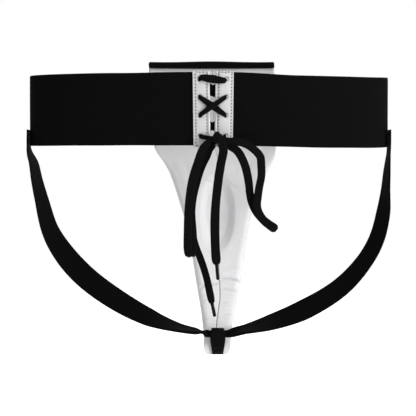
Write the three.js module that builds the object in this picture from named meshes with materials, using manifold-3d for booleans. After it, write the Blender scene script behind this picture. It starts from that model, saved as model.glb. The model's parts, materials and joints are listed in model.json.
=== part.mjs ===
// A laced groin protector: an elastic waistband that laces up at the back, a leather pad with a hard
// cup that hangs from its front, and one elastic leg strap through a webbing loop at the pad's tip.
// Millimetres, +Z up. The origin is the middle of the waistband ring. The lacing is at -Y, the pad at +Y.
import * as THREE from 'three';
import { mergeVertices } from 'three/addons/utils/BufferGeometryUtils.js';
import Module from 'manifold-3d';

const wasm = await Module();
wasm.setup();

// Driving dimensions
const GAP = 0.3; // between touching pieces
const BAND_HEIGHT = 76;
const BAND_THICKNESS = 1.8;
const SEAM_ALLOWANCE = 2; // left free between the waistband's ends and the pad
const BACK_Y = -47; // the waistband's middle surface where it is laced
const HALF_RING = 195; // from the middle of the ring to the waistband's middle surface at each end

const SLIT_X = 3.7; // the slit between the two lacing panels
const SLIT_HALF = 2.7;
const PANEL_LEAN = 0.014; // the slit is a little wider at the top
const PANEL_HEIGHT = 80;
const PANEL_REACH = 22; // from the slit's middle to a panel's outer edge
const BAND_TUCK = 18; // from the slit's middle to the end of the elastic inside the panel
const PLY = 1.5;
const PIPING_RADIUS = 1.4;
const HOLE_REACH = 13.8;
const HOLE_RADIUS = 2.9;
const HOLE_HEIGHTS = [31.5, 13, -6.5, -28.5];

const LACE_THICKNESS = 1.5;
const LACE_WIDTH = 8.6;
const LACED_WIDTH = 4.4; // gathered where it is pulled tight through the holes
const KNOT = new THREE.Vector3(8.8, -57, -30.2);
const KNOT_RADII = [6.4, 5.3, 6.2];
const AGLET_RADIUS = 1.4;

const LEATHER = 1.4;
const BELLY_TOP = 54.5;
const BELLY_BOTTOM = -40.5;
const PAD_TOP = -44;
const TIP_START = -252; // the tip's rounded end begins here
const TIP_RADIUS = 18;
const PAD_BOTTOM = TIP_START - TIP_RADIUS + 0.5;
const EDGE_CURL = 4; // the pad's edges lie up to this much nearer the wearer than its middle
const HOLLOW = { x: 7.5, z: -115, halfWidth: 28, halfHeight: 50, depth: 11, flatness: 5 };
const BULGE = { halfWidth: 38, halfHeight: 64, depth: 26, flatness: 2 };
const CUP_REACH = 1; // the steel cup's edge, as a multiple of the hollow's outline
const CUP_STEEL = 1.6;
const BINDING = 1.2;
const BINDING_BOTTOM = 49;

const STRAP_WIDTH = 25;
const STRAP_THICKNESS = 1.6;
const GATHERED_THICKNESS = 3.6;
const LOOP_WIDTH = 14;
const LOOP_WEBBING = 1.3;

const BLACK_ELASTIC = { color: 0x101010, roughness: 0.85 };
const BLACK_LACE = { color: 0x151515, roughness: 0.8 };
const WHITE_LEATHER = { color: 0xe2e2e2, roughness: 0.5 };
const FOAM = { color: 0xd8d4c4, roughness: 0.95 };
const STEEL = { color: 0xb8bcc0, roughness: 0.3, metalness: 1 };

const group = new THREE.Group();

function add(name, geometry, look, parent = group) {
  const mesh = new THREE.Mesh(geometry, new THREE.MeshStandardMaterial(look));
  mesh.name = name;
  parent.add(mesh);
  return mesh;
}

// Shape tools

// A smooth function of one variable through [at, value] points, which run in falling order.
function profile(points) {
  const slope = points.map((point, i) => {
    const before = points[Math.max(i - 1, 0)];
    const after = points[Math.min(i + 1, points.length - 1)];
    return (after[1] - before[1]) / (after[0] - before[0]);
  });
  return (at) => {
    let i = 0;
    while (i < points.length - 2 && at < points[i + 1][0]) i += 1;
    const [x0, y0] = points[i];
    const [x1, y1] = points[i + 1];
    const span = x1 - x0;
    const t = THREE.MathUtils.clamp((at - x0) / span, 0, 1);
    const rise = t * t * (3 - 2 * t);
    const bendIn = t * (1 - t) * (1 - t) * slope[i] * span;
    const bendOut = t * t * (t - 1) * slope[i + 1] * span;
    return y0 + (y1 - y0) * rise + bendIn + bendOut;
  };
}

// Turns a closed geometry's faces outwards, if they face inwards.
function facingOut(geometry) {
  const closed = geometry.toNonIndexed();
  const position = closed.attributes.position;
  const [a, b, c] = [new THREE.Vector3(), new THREE.Vector3(), new THREE.Vector3()];
  let volume = 0;
  for (let i = 0; i < position.count; i += 3) {
    a.fromBufferAttribute(position, i);
    b.fromBufferAttribute(position, i + 1);
    c.fromBufferAttribute(position, i + 2);
    volume += a.dot(b.cross(c));
  }
  if (volume < 0) {
    for (let i = 0; i < position.count; i += 3) {
      a.fromBufferAttribute(position, i);
      b.fromBufferAttribute(position, i + 1);
      position.setXYZ(i, b.x, b.y, b.z);
      position.setXYZ(i + 1, a.x, a.y, a.z);
    }
  }
  closed.computeVertexNormals();
  return closed;
}

// A sheet with a front and a back: place(u, v, side) gives each point, with u, v and side from 0 to 1.
function sheet(stepsU, stepsV, place) {
  const geometry = new THREE.BoxGeometry(1, 1, 1, stepsU, stepsV, 1);
  const position = geometry.attributes.position;
  for (let i = 0; i < position.count; i += 1) {
    const u = Math.round((position.getX(i) + 0.5) * stepsU) / stepsU;
    const v = Math.round((position.getY(i) + 0.5) * stepsV) / stepsV;
    const side = Math.round(position.getZ(i) + 0.5);
    position.setXYZ(i, ...place(u, v, side));
  }
  return facingOut(geometry);
}

// A flat cord of a rounded section along a curve, with its width across the curve's binormals.
function ribbon(curve, width, thickness, steps) {
  const corner = thickness / 3;
  const [x, y] = [thickness / 2, width / 2];
  const outline = [
    [x, corner - y], [x, y - corner], [x - corner, y], [corner - x, y],
    [-x, y - corner], [-x, corner - y], [corner - x, -y], [x - corner, -y],
  ];
  const section = new THREE.Shape(outline.map((point) => new THREE.Vector2(...point)));
  return new THREE.ExtrudeGeometry(section, { steps, extrudePath: curve });
}

// A curve that carries the direction of a ribbon's width at each of its points.
class RibbonCurve extends THREE.CatmullRomCurve3 {
  constructor(points, widths) {
    super(points, false, 'centripetal');
    this.widths = widths;
    this.arcLengthDivisions = 2000;
  }

  computeFrenetFrames(segments) {
    const frames = { tangents: [], normals: [], binormals: [] };
    for (let i = 0; i <= segments; i += 1) {
      const at = this.getUtoTmapping(i / segments) * (this.widths.length - 1);
      const first = Math.min(Math.floor(at), this.widths.length - 2);
      const tangent = this.getTangentAt(i / segments);
      const width = this.widths[first].clone().lerp(this.widths[first + 1], at - first);
      width.addScaledVector(tangent, -width.dot(tangent)).normalize();
      frames.tangents.push(tangent);
      frames.normals.push(width.clone().cross(tangent));
      frames.binormals.push(width);
    }
    return frames;
  }
}

// Waistband

const padHalf = profile([
  [57, 69.2], [-38, 67.2], [-68, 53.4], [-97, 42.4], [-135, 33.4], [-194, 24], [-225, 18.6],
  [TIP_START, 15],
]);
const padMiddle = profile([
  [57, 2.6], [-38, 7], [-56, 10.2], [-97, 8.9], [-135, 10.2], [-200, 10.5], [-270, 9],
]);

function halfWidth(z) {
  if (z > TIP_START) return padHalf(z);
  const drop = (TIP_START - z) / TIP_RADIUS;
  return padHalf(TIP_START) * Math.max(1 - drop ** 4, 0.04) ** 0.25;
}

function waistband(side) {
  const tuck = SLIT_X * side + BAND_TUCK;
  const edge = (z) => padMiddle(z) * side + halfWidth(z) + SEAM_ALLOWANCE;
  const plan = [
    [tuck, BACK_Y], [60, BACK_Y + 1], [110, -40.5], [150, -31], [178, -18.5], [191.5, -6.5],
    [HALF_RING, 2], [191, 10], [176, 16], [145, 19], [110, 17.5], [edge(0), 13.2],
  ];
  const curve = new THREE.CatmullRomCurve3(plan.map(([x, y]) => new THREE.Vector3(x, y, 0)));
  curve.arcLengthDivisions = 1000;
  return sheet(42, 1, (u, v, face) => {
    const middle = curve.getPointAt(u);
    const along = curve.getTangentAt(u);
    const out = (face - 0.5) * BAND_THICKNESS;
    const z = (v - 0.5) * BAND_HEIGHT;
    const lean = PANEL_LEAN * z * (1 - THREE.MathUtils.smoothstep(u, 0, 0.1));
    const seam = (edge(z) - edge(0)) * THREE.MathUtils.smoothstep(u, 0.9, 1);
    return [side * (middle.x + along.y * out + lean + seam), middle.y - along.x * out, z];
  });
}

add('waistband_left', waistband(-1), BLACK_ELASTIC);
add('waistband_right', waistband(1), BLACK_ELASTIC);

// Lacing panels: outer ply, stiffener and inner ply, punched together, and a piped edge at the slit

function punchedPly(side, from, to, height) {
  const at = (reach, z) => new THREE.Vector2(SLIT_X + side * (reach + PANEL_LEAN * z), z);
  const top = height / 2;
  const outline = new THREE.Shape([at(from, -top), at(to, -top), at(to, top), at(from, top)]);
  for (const z of HOLE_HEIGHTS) {
    const hole = new THREE.Path();
    hole.absarc(at(HOLE_REACH, z).x, z, HOLE_RADIUS, 0, 2 * Math.PI, side > 0);
    outline.holes.push(hole);
  }
  return outline;
}

function addPly(name, outline, thickness, front, look) {
  const geometry = new THREE.ExtrudeGeometry(outline, {
    depth: thickness, bevelEnabled: false, curveSegments: 6,
  });
  const mesh = add(name, geometry, look);
  mesh.rotation.x = Math.PI / 2;
  mesh.position.y = front + thickness;
}

const PLY_START = SLIT_HALF + 2 * PIPING_RADIUS + GAP;
const OUTER_PLY_FRONT = BACK_Y - BAND_THICKNESS / 2 - GAP - PLY;
const INNER_PLY_FRONT = BACK_Y + BAND_THICKNESS / 2 + GAP;

for (const [name, side] of [['left', -1], ['right', 1]]) {
  const ply = punchedPly(side, PLY_START, PANEL_REACH, PANEL_HEIGHT);
  const core = punchedPly(side, PLY_START, BAND_TUCK - GAP, BAND_HEIGHT);
  addPly(`lace_panel_${name}_outer`, ply, PLY, OUTER_PLY_FRONT, WHITE_LEATHER);
  addPly(`lace_panel_${name}_inner`, ply, PLY, INNER_PLY_FRONT, WHITE_LEATHER);
  addPly(`lace_panel_${name}_stiffener`, core, BAND_THICKNESS, BACK_Y - BAND_THICKNESS / 2, FOAM);
  const piping = add(
    `lace_panel_${name}_piping`,
    new THREE.CylinderGeometry(PIPING_RADIUS, PIPING_RADIUS, PANEL_HEIGHT, 10),
    WHITE_LEATHER,
  );
  piping.rotation.set(Math.PI / 2, 0, 0);
  piping.position.set(SLIT_X + side * (SLIT_HALF + PIPING_RADIUS), BACK_Y, 0);
  piping.rotation.z = -side * PANEL_LEAN;
}

// The laced stretch: one lace through all eight holes, from the knot and back to it

const OUTSIDE = OUTER_PLY_FRONT - GAP - LACE_THICKNESS;
const OUTSIDE_TOP = OUTSIDE - LACE_THICKNESS - 0.6;
const INSIDE = INNER_PLY_FRONT + PLY + 2 * GAP + LACE_THICKNESS / 1.4;
const INSIDE_TOP = INSIDE + LACE_THICKNESS + 0.6;
const CORNER = 2.2; // the lace leaves a hole's middle by this much before it lies flat

function hole(side, row) {
  const z = HOLE_HEIGHTS[row];
  return new THREE.Vector3(SLIT_X + side * (HOLE_REACH + PANEL_LEAN * z), BACK_Y, z);
}

// The points of one leg between two holes, with the height of its middle, and its width's direction.
function lacedLeg(from, to, level, crossing) {
  const along = to.clone().sub(from).normalize();
  const start = from.clone().addScaledVector(along, CORNER).setY(level);
  const end = to.clone().addScaledVector(along, -CORNER).setY(level);
  const middle = from.clone().add(to).multiplyScalar(0.5).setY(crossing);
  const width = new THREE.Vector3(-along.z, 0, along.x);
  if (width.z < 0) width.negate();
  return { points: [start, middle, end], width };
}

function lacedStretch() {
  const turns = [
    hole(-1, 3), hole(1, 2), hole(-1, 1), hole(1, 0), hole(-1, 0), hole(1, 1), hole(-1, 2), hole(1, 3),
  ];
  const levels = [
    [INSIDE, INSIDE], [OUTSIDE, OUTSIDE], [INSIDE, INSIDE], [OUTSIDE, OUTSIDE],
    [INSIDE, INSIDE_TOP], [OUTSIDE, OUTSIDE_TOP], [INSIDE, INSIDE_TOP],
  ];
  const up = new THREE.Vector3(0, 0, 1);
  const entry = turns[0].clone().setY(OUTSIDE);
  const points = [
    entry.clone().setX(KNOT.x - KNOT_RADII[0] - 1.2),
    entry.clone().add({ x: CORNER, y: 0, z: 0 }),
  ];
  const widths = [up, up];
  levels.forEach(([level, crossing], i) => {
    const leg = lacedLeg(turns[i], turns[i + 1], level, crossing);
    const turning = leg.width.clone().add(widths[widths.length - 1]).normalize();
    points.push(turns[i], ...leg.points);
    widths.push(turning, leg.width, leg.width, leg.width);
  });
  const last = turns[turns.length - 1];
  points.push(last, last.clone().setY(OUTSIDE).add({ x: -0.8, y: 0, z: 0 }));
  widths.push(up, up);
  return new RibbonCurve(points, widths);
}

add('lace_through_panels', ribbon(lacedStretch(), LACED_WIDTH, LACE_THICKNESS - 0.2, 90), BLACK_LACE);

// The bow: a knot, two loops and two tails that hang free

const bow = new THREE.Group();
group.add(bow);

const knot = add('bow_knot', new THREE.SphereGeometry(1, 16, 12), BLACK_LACE, bow);
knot.scale.set(...KNOT_RADII);
knot.position.copy(KNOT);

const leftLoop = [
  [-1.5, -59, -35.5], [-7.2, -59.4, -43.5], [-11.8, -60, -55.6], [-17.4, -60, -74.6], [-20.8, -60, -95.6],
  [-22, -60, -112.4], [-22.4, -60, -131.3], [-22.2, -60, -148], [-21, -58.6, -153],
  [-19.8, -56.5, -154.6], [-18.6, -54.4, -153.2], [-16.6, -53, -148], [-17.2, -53, -131.3],
  [-18.6, -53, -112.4], [-18.6, -53, -95.6], [-16, -53, -74.6], [-9.4, -53.6, -55.6],
  [-4.6, -54.6, -45.5], [0.8, -55.2, -39.2],
];
const rightLoop = [
  [17.6, -58.6, -33.4], [22.2, -58.8, -33.8], [36.4, -59, -36.2], [46.8, -59, -42.4], [53.6, -59, -50.2],
  [54.6, -59, -58], [54.8, -59, -70.4], [52.6, -59, -82], [51.2, -59, -91], [50.2, -59, -100.8],
  [51.6, -59, -107.6], [57, -59, -116.4], [67.6, -58.4, -124.6], [70.4, -56.7, -126.7], [67.2, -55, -124.2],
  [56, -54.2, -115.4], [49.4, -54, -107.2], [45, -54, -97.8], [42.8, -54, -87.6], [42.2, -54, -80.8],
  [40.2, -54, -68.4], [36.4, -54, -55.6], [29.4, -54, -43.8], [21.4, -54.2, -39.4],
];
const leftTail = [
  [0.6, -51.9, -44.4], [-1.2, -51.9, -48], [-5.6, -50.8, -56.4], [-9.2, -50.4, -65.4], [-12, -50.4, -74.6],
  [-14.8, -50.4, -85], [-17, -50.4, -95.6], [-18.6, -50.4, -112.4], [-18.4, -50.4, -122],
  [-17.4, -50.4, -131.3], [-14.2, -50.6, -144], [-9.4, -51, -156.6],
  [-5, -51.4, -169.2], [-1.6, -51.6, -181.8], [1, -51.8, -194.4], [3.2, -52, -204.8],
];
const middleTail = [
  [12.2, -63.6, -31.4], [13.2, -63.6, -35], [15, -63, -43], [14.2, -62.2, -49.2], [12.8, -61.6, -55.6],
  [11.7, -61, -62], [10.6, -60.6, -68.4], [9, -60, -81], [7.6, -60, -93.4], [6.6, -60, -106],
  [6.2, -60, -118.8], [6.2, -60, -131.4],
  [6.6, -60, -144], [7.2, -60, -154], [8, -60, -163.4],
];

// A lace's curve, with its width kept upright to its course. It folds over where it turns towards Y.
function laceCurve(route) {
  const points = route.map((point) => new THREE.Vector3(...point));
  const depth = new THREE.Vector3(0, 1, 0);
  const widths = [];
  let facing = 1;
  points.forEach((point, i) => {
    const after = points[Math.min(i + 1, points.length - 1)];
    const along = after.clone().sub(points[Math.max(i - 1, 0)]);
    const folding = Math.abs(along.y) > 0.6 * along.length();
    const square = along.cross(depth).multiplyScalar(facing).normalize();
    const width = folding ? widths[i - 1].clone() : square;
    if (!folding && i && width.dot(widths[i - 1]) < 0) {
      facing = -facing;
      width.negate();
    }
    widths.push(width);
  });
  return new RibbonCurve(points, widths);
}

function addAglet(name, route, length) {
  const curve = laceCurve(route);
  const along = curve.getTangentAt(1);
  const sleeve = new THREE.CylinderGeometry(AGLET_RADIUS, AGLET_RADIUS, length, 10);
  const aglet = add(name, sleeve, BLACK_LACE, bow);
  aglet.quaternion.setFromUnitVectors(new THREE.Vector3(0, 1, 0), along);
  aglet.position.copy(curve.getPointAt(1)).addScaledVector(along, length / 2 + GAP);
}

add('bow_loop_left', ribbon(laceCurve(leftLoop), LACE_WIDTH, LACE_THICKNESS, 50), BLACK_LACE, bow);
add('bow_loop_right', ribbon(laceCurve(rightLoop), LACE_WIDTH, LACE_THICKNESS, 46), BLACK_LACE, bow);
add('lace_tail_left', ribbon(laceCurve(leftTail), LACE_WIDTH, LACE_THICKNESS, 20), BLACK_LACE, bow);
add('lace_tail_middle', ribbon(laceCurve(middleTail), LACE_WIDTH, LACE_THICKNESS, 16), BLACK_LACE, bow);
addAglet('lace_aglet_left', leftTail, 14);
addAglet('lace_aglet_middle', middleTail, 15.5);

// Pad: an upper belly part sewn to the waistband, and a cup part that folds under it

const innerFace = profile([
  [57, 15], [0, 17], [-60, 18], [-120, 22], [-200, 23], [-245, 20.5], [-270, 19],
]);
const padThickness = profile([
  [57, 6.5], [20, 9.5], [-38, 12.5], [-120, 13], [-200, 11], [-250, 8], [-270, 5.5],
]);
const across = (x, z) => (x - padMiddle(z)) / halfWidth(z);

// How far a point is from a dome's middle, with 1 on the dome's outline.
function reachOf(dome, x, z) {
  return Math.hypot((x - HOLLOW.x) / dome.halfWidth, (z - HOLLOW.z) / dome.halfHeight);
}

// How deep a dome is at a point. The flatter its floor, the steeper its walls.
function dome(shape, x, z) {
  const reach = Math.min(reachOf(shape, x, z), 1);
  return shape.depth * (1 - reach ** shape.flatness) ** 2;
}

const edgeCurl = (z) => EDGE_CURL * Math.min(halfWidth(z) / 40, 1) ** 2;
const flatInner = (x, z) => innerFace(z) - edgeCurl(z) * Math.min(across(x, z) ** 2, 1);
const liningFace = (x, z) => flatInner(x, z) + dome(HOLLOW, x, z);
const roundEdge = (s) => Math.sqrt(Math.max(1 - s ** 4, 0));

// A point at s across the pad, from -1 to 1, at a height, on a surface this far inside its outside.
function frontPoint(s, z, inset) {
  const x = padMiddle(z) + (halfWidth(z) - inset) * s;
  const outer = padMiddle(z) + halfWidth(z) * s;
  const depth = padThickness(z) + dome(BULGE, outer, z) - inset;
  return [x, flatInner(x, z) + roundEdge(s) * depth, z];
}

const STEPS_ACROSS = 12;
const STEPS_DOWN = 20;
const spread = (v) => Math.sin((v - 0.5) * Math.PI);

function cover(top, bottom, steps) {
  return sheet(STEPS_ACROSS, steps, (u, v, side) => {
    const z = THREE.MathUtils.lerp(bottom, top, v);
    return frontPoint(spread(u), z, side * LEATHER);
  });
}

const LINING_INSET = 2 * LEATHER + GAP;
const LINING_BOTTOM = PAD_BOTTOM + 10;

function lining(top, bottom, from, to, steps, seam = 0) {
  return sheet(8, steps, (u, v, side) => {
    const z = THREE.MathUtils.lerp(bottom, top, v);
    const s = THREE.MathUtils.lerp(from, to, u);
    const x = padMiddle(z) + (halfWidth(z) - LINING_INSET) * s + seam;
    return [x, liningFace(x, z) + side * LEATHER, z];
  });
}

// Foam fills a cover, two of the cover's steps short of its edges and up to some steps short of its end.
function foam(top, bottom, steps, short) {
  const inset = LEATHER + 3 * GAP;
  const trim = 2 / STEPS_ACROSS;
  return sheet(STEPS_ACROSS - 4, steps - short, (u, v, side) => {
    const z = THREE.MathUtils.lerp(bottom, top, (v * (steps - short) + short) / steps);
    const [x, y] = frontPoint(spread(trim + u * (1 - 2 * trim)), z, inset);
    return side ? [x, y, z] : [x, flatInner(x, z) + inset, z];
  });
}

add('belly_cover', cover(BELLY_TOP, BELLY_BOTTOM, 6), WHITE_LEATHER);
add('belly_lining', lining(BELLY_TOP, BELLY_BOTTOM, -1, 1, 6), WHITE_LEATHER);
add('belly_foam', foam(BELLY_TOP, BELLY_BOTTOM, 6, 0), FOAM);

// The binding folds over the belly part's top edge: up the inside, over the top and down the front.
function topBinding() {
  return sheet(16, 10, (u, v, side) => {
    const s = spread(u) * 1.002;
    const turn = THREE.MathUtils.clamp((v - 0.4) / 0.2, 0, 1) * Math.PI;
    const leg = v < 0.4 ? v / 0.4 : Math.min((1 - v) / 0.4, 1);
    const z = THREE.MathUtils.lerp(BINDING_BOTTOM, BELLY_TOP + GAP, leg);
    const x = padMiddle(z) + (halfWidth(z) + 0.6) * s;
    const inner = flatInner(x, z) - GAP;
    const depth = roundEdge(s / 1.002) * padThickness(BINDING_BOTTOM) + 2 * GAP;
    const radius = depth / 2 + side * BINDING;
    return [x, inner + depth / 2 - Math.cos(turn) * radius, z + Math.sin(turn) * (0.9 + side * BINDING)];
  });
}

add('belly_top_binding', topBinding(), BLACK_ELASTIC);

// Hard cup

const cupRise = (reach) => (
  2.3 + 3.8 * THREE.MathUtils.smoothstep(reach, CUP_REACH - 0.29, CUP_REACH - 0.09)
);
const cupInner = (x, z) => liningFace(x, z) + LEATHER + cupRise(reachOf(HOLLOW, x, z));

// A turned disc or ring, laid over the hollow: place(x, z, height) gives y, and reach its outline.
function overHollow(section, reach, place) {
  const geometry = new THREE.LatheGeometry(section.map(([r, h]) => new THREE.Vector2(r, h)), 24);
  const position = geometry.attributes.position;
  for (let i = 0; i < position.count; i += 1) {
    const x = HOLLOW.x + position.getX(i) * reach * HOLLOW.halfWidth;
    const z = HOLLOW.z + position.getZ(i) * reach * HOLLOW.halfHeight;
    position.setXYZ(i, x, place(x, z, position.getY(i)), z);
  }
  return facingOut(geometry);
}

const RADII = [0, 0.2, 0.4, 0.56, 0.68, 0.8, 0.9, 1];
const DISC = [...RADII.map((r) => [r, 0]), ...RADII.toReversed().map((r) => [r, 1])];
const RING = [[0.93, 0], [1, 0], [1, 1], [0.93, 1], [0.93, 0]];

const cup = overHollow(DISC, CUP_REACH, (x, z, side) => cupInner(x, z) + side * CUP_STEEL);
const cupSpace = overHollow(DISC, CUP_REACH * 1.12, (x, z, side) => (
  side ? cupInner(x, z) + CUP_STEEL + 4 * GAP : flatInner(x, z) - 2
));

function solid(geometry) {
  const bare = geometry.clone();
  bare.deleteAttribute('normal');
  bare.deleteAttribute('uv');
  const merged = mergeVertices(bare, 1e-4);
  const triVerts = new Uint32Array(merged.index.array);
  return new wasm.Manifold(new wasm.Mesh({
    numProp: 3, vertProperties: merged.attributes.position.array, triVerts,
  }));
}

function fromSolid(body) {
  const mesh = body.getMesh();
  const geometry = new THREE.BufferGeometry();
  geometry.setAttribute('position', new THREE.BufferAttribute(mesh.vertProperties, 3));
  geometry.setIndex(new THREE.BufferAttribute(mesh.triVerts, 1));
  geometry.computeVertexNormals();
  return geometry;
}

const foamCore = solid(foam(PAD_TOP, PAD_BOTTOM, STEPS_DOWN, 2)).subtract(solid(cupSpace));

add('cup_cover', cover(PAD_TOP, PAD_BOTTOM, STEPS_DOWN), WHITE_LEATHER);
add('cup_lining_left', lining(PAD_TOP, LINING_BOTTOM, -1, 0, STEPS_DOWN, -GAP / 2), WHITE_LEATHER);
add('cup_lining_right', lining(PAD_TOP, LINING_BOTTOM, 0, 1, STEPS_DOWN, GAP / 2), WHITE_LEATHER);
add('cup_steel_shell', cup, STEEL);
add('cup_foam_core', fromSolid(foamCore), FOAM);
add('cup_foam_rim', overHollow(RING, CUP_REACH * 0.98, (x, z, side) => (
  side ? cupInner(x, z) - 2 * GAP : liningFace(x, z) + LEATHER + 11 * GAP
)), FOAM);

// Webbing loop at the tip: a band folded over the leg strap, with its ends sewn to the tip's end

const LOOP_TOP = -238.6;
const LOOP_BOTTOM = -268.5;
const LOOP_BACK = 15.6;
const SLOT = { height: 11.6, depth: 6 };

function tipLoop() {
  const roomHalf = SLOT.depth / 2;
  const outerHalf = roomHalf + LOOP_WEBBING;
  const middle = LOOP_BACK - outerHalf;
  const slotTop = LOOP_TOP - LOOP_WEBBING;
  const outline = new THREE.Shape();
  outline.moveTo(LOOP_BACK, LOOP_BOTTOM);
  outline.lineTo(LOOP_BACK, LOOP_TOP - outerHalf);
  outline.absarc(middle, LOOP_TOP - outerHalf, outerHalf, 0, Math.PI);
  outline.lineTo(middle - outerHalf, slotTop - SLOT.height + 1);
  outline.lineTo(LOOP_BACK - 2.2 * LOOP_WEBBING, LOOP_BOTTOM + 8);
  outline.lineTo(LOOP_BACK - 2.2 * LOOP_WEBBING, LOOP_BOTTOM);
  const slot = new THREE.Path();
  slot.moveTo(middle + roomHalf, slotTop - roomHalf);
  slot.lineTo(middle + roomHalf, slotTop - SLOT.height);
  slot.lineTo(middle - roomHalf + 1.5, slotTop - SLOT.height);
  slot.lineTo(middle - roomHalf, slotTop - SLOT.height + 2);
  slot.lineTo(middle - roomHalf, slotTop - roomHalf);
  slot.absarc(middle, slotTop - roomHalf, roomHalf, Math.PI, 0, true);
  outline.holes.push(slot);
  const geometry = new THREE.ExtrudeGeometry(outline, {
    depth: LOOP_WIDTH, bevelEnabled: false, curveSegments: 6,
  });
  const turn = new THREE.Matrix4().set(0, 0, 1, 0, 1, 0, 0, 0, 0, 1, 0, 0, 0, 0, 0, 1);
  geometry.applyMatrix4(turn);
  geometry.translate(padMiddle(LOOP_TOP) - LOOP_WIDTH / 2, 0, 0);
  return geometry;
}

add('tip_webbing_loop', tipLoop(), BLACK_ELASTIC);

// Leg strap: sewn flat to the outside of the waistband's left end, twisting as it comes down to the
// webbing loop, where it is gathered, and up again to the right end.
// Each station is x, y, z, the turn from edge-on in degrees, and the gathered width.
const strapStations = [
  [-197.2, 1, -20, 0, 25], [-197.2, 1, -40, 0, 25], [-196, 1, -46, 7, 25], [-192.2, 1, -56, 15, 25],
  [-188.7, 1, -75, 21, 25], [-183.4, 2, -97, 28, 25], [-174.5, 3, -129.7, 41, 25],
  [-160.7, 4, -154, 59, 25], [-137.1, 5, -180.7, 84, 25], [-103, 6, -206.3, 66, 25],
  [-65, 7, -227, 43, 25], [-30, 9, -239, 22, 17], [-8.5, 10.8, -243.2, 14, 11],
  [-1.8, 11.3, -245, 80, 7.6], [9.6, 11.3, -245.4, 88, 7.2], [22.2, 11.2, -245, 68, 8],
  [31, 10.3, -242.4, 36, 12.4], [39, 9.4, -240.3, 25, 17], [65.4, 9.6, -233.4, 34, 25],
  [105.2, 7.4, -218, 56, 25], [145, 5.4, -193, 48, 25], [171, 4, -164.2, 38, 25],
  [184, 3, -140, 34, 25], [191.2, 2, -111, 28, 25], [193.6, 1, -86, 14, 25], [195.6, 1, -60, 6, 25],
  [196.8, 1, -46, 0, 25], [197.2, 1, -40, 0, 25], [197.2, 1, -20, 0, 25],
];

function legStrap() {
  const points = strapStations.map(([x, y, z]) => new THREE.Vector3(x, y, z));
  const curve = new THREE.CatmullRomCurve3(points, false, 'centripetal');
  curve.arcLengthDivisions = 2000;
  const depth = new THREE.Vector3(0, 1, 0);
  return sheet(60, 1, (u, v, side) => {
    const at = curve.getUtoTmapping(u) * (strapStations.length - 1);
    const first = Math.min(Math.floor(at), strapStations.length - 2);
    const [from, to] = [strapStations[first], strapStations[first + 1]];
    const turn = THREE.MathUtils.degToRad(THREE.MathUtils.lerp(from[3], to[3], at - first));
    const width = THREE.MathUtils.lerp(from[4], to[4], at - first);
    const thickness = Math.min(STRAP_THICKNESS * STRAP_WIDTH / width, GATHERED_THICKNESS);
    const tangent = curve.getTangentAt(u);
    const wide = tangent.clone().cross(depth).multiplyScalar(Math.sin(turn));
    wide.addScaledVector(depth, Math.cos(turn));
    wide.addScaledVector(tangent, -wide.dot(tangent)).normalize();
    const through = tangent.cross(wide);
    const point = curve.getPointAt(u).addScaledVector(wide, (v - 0.5) * width);
    return point.addScaledVector(through, (side - 0.5) * thickness).toArray();
  });
}

add('leg_strap', legStrap(), BLACK_ELASTIC);

export default group;
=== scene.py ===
# A laced groin protector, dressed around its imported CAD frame: an elastic waistband laced at the
# back, a leather pad with a hard cup, and one elastic leg strap. Metres, +Z up, seen from the lacing.
import json
import math

import bpy
import numpy as np
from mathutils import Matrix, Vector


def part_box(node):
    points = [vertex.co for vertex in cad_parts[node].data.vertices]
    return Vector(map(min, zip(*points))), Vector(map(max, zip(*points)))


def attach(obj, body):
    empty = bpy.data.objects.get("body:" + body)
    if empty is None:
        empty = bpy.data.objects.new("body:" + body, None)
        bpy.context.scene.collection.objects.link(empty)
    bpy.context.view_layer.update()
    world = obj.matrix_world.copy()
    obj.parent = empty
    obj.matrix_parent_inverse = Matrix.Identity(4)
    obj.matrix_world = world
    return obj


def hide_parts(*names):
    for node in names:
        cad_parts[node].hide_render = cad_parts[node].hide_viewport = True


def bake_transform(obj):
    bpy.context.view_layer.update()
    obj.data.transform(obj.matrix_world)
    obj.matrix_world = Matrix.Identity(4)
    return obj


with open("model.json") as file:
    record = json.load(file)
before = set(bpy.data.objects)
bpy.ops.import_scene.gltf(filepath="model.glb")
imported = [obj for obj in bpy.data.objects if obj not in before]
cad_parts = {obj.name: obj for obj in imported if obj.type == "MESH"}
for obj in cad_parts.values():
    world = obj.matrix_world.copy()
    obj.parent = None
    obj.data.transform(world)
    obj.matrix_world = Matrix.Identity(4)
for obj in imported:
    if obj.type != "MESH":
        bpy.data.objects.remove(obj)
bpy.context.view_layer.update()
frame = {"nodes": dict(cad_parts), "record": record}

UV = "cloth"  # every made piece's UV map: metres across and along the piece

# Sizes, from the frame where it has them
band_low, band_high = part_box("waistband_left")
BAND_HEIGHT = band_high.z - band_low.z
BAND_THICKNESS = 0.0018
ply_low, ply_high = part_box("lace_panel_right_outer")
OUTER_PLY_FRONT = ply_low.y
PLY = ply_high.y - ply_low.y
PANEL_HEIGHT = ply_high.z - ply_low.z
INNER_PLY_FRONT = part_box("lace_panel_right_inner")[0].y
BACK_Y = (OUTER_PLY_FRONT + INNER_PLY_FRONT + PLY) / 2
SLIT_X = 0.0037
PANEL_LEAN = 0.014
PLY_START = 0.0054
PANEL_REACH = {-1: 0.0206, 1: 0.0218}  # from the middle of the slit to each panel's far edge
BAND_TUCK = 0.018
PIPING_REACH = 0.0041
PIPING_RADIUS = 0.0014
HOLE_REACH = 0.0138
HOLE_RADIUS = 0.0023
HOLE_HEIGHTS = (0.0315, 0.013, -0.0065, -0.0285)
THREAD = 0.0002  # a stitch's radius
PAD_STITCH, PAD_PITCH = 0.0021, 0.003
LACE_WIDTH, LACE_THICKNESS = 0.0086, 0.0015
GAP = 0.0003
LEATHER = 0.0014
knot_low, knot_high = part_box("bow_knot")
KNOT = (knot_low + knot_high) / 2
KNOT_RADII = (knot_high - knot_low) / 2
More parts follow.
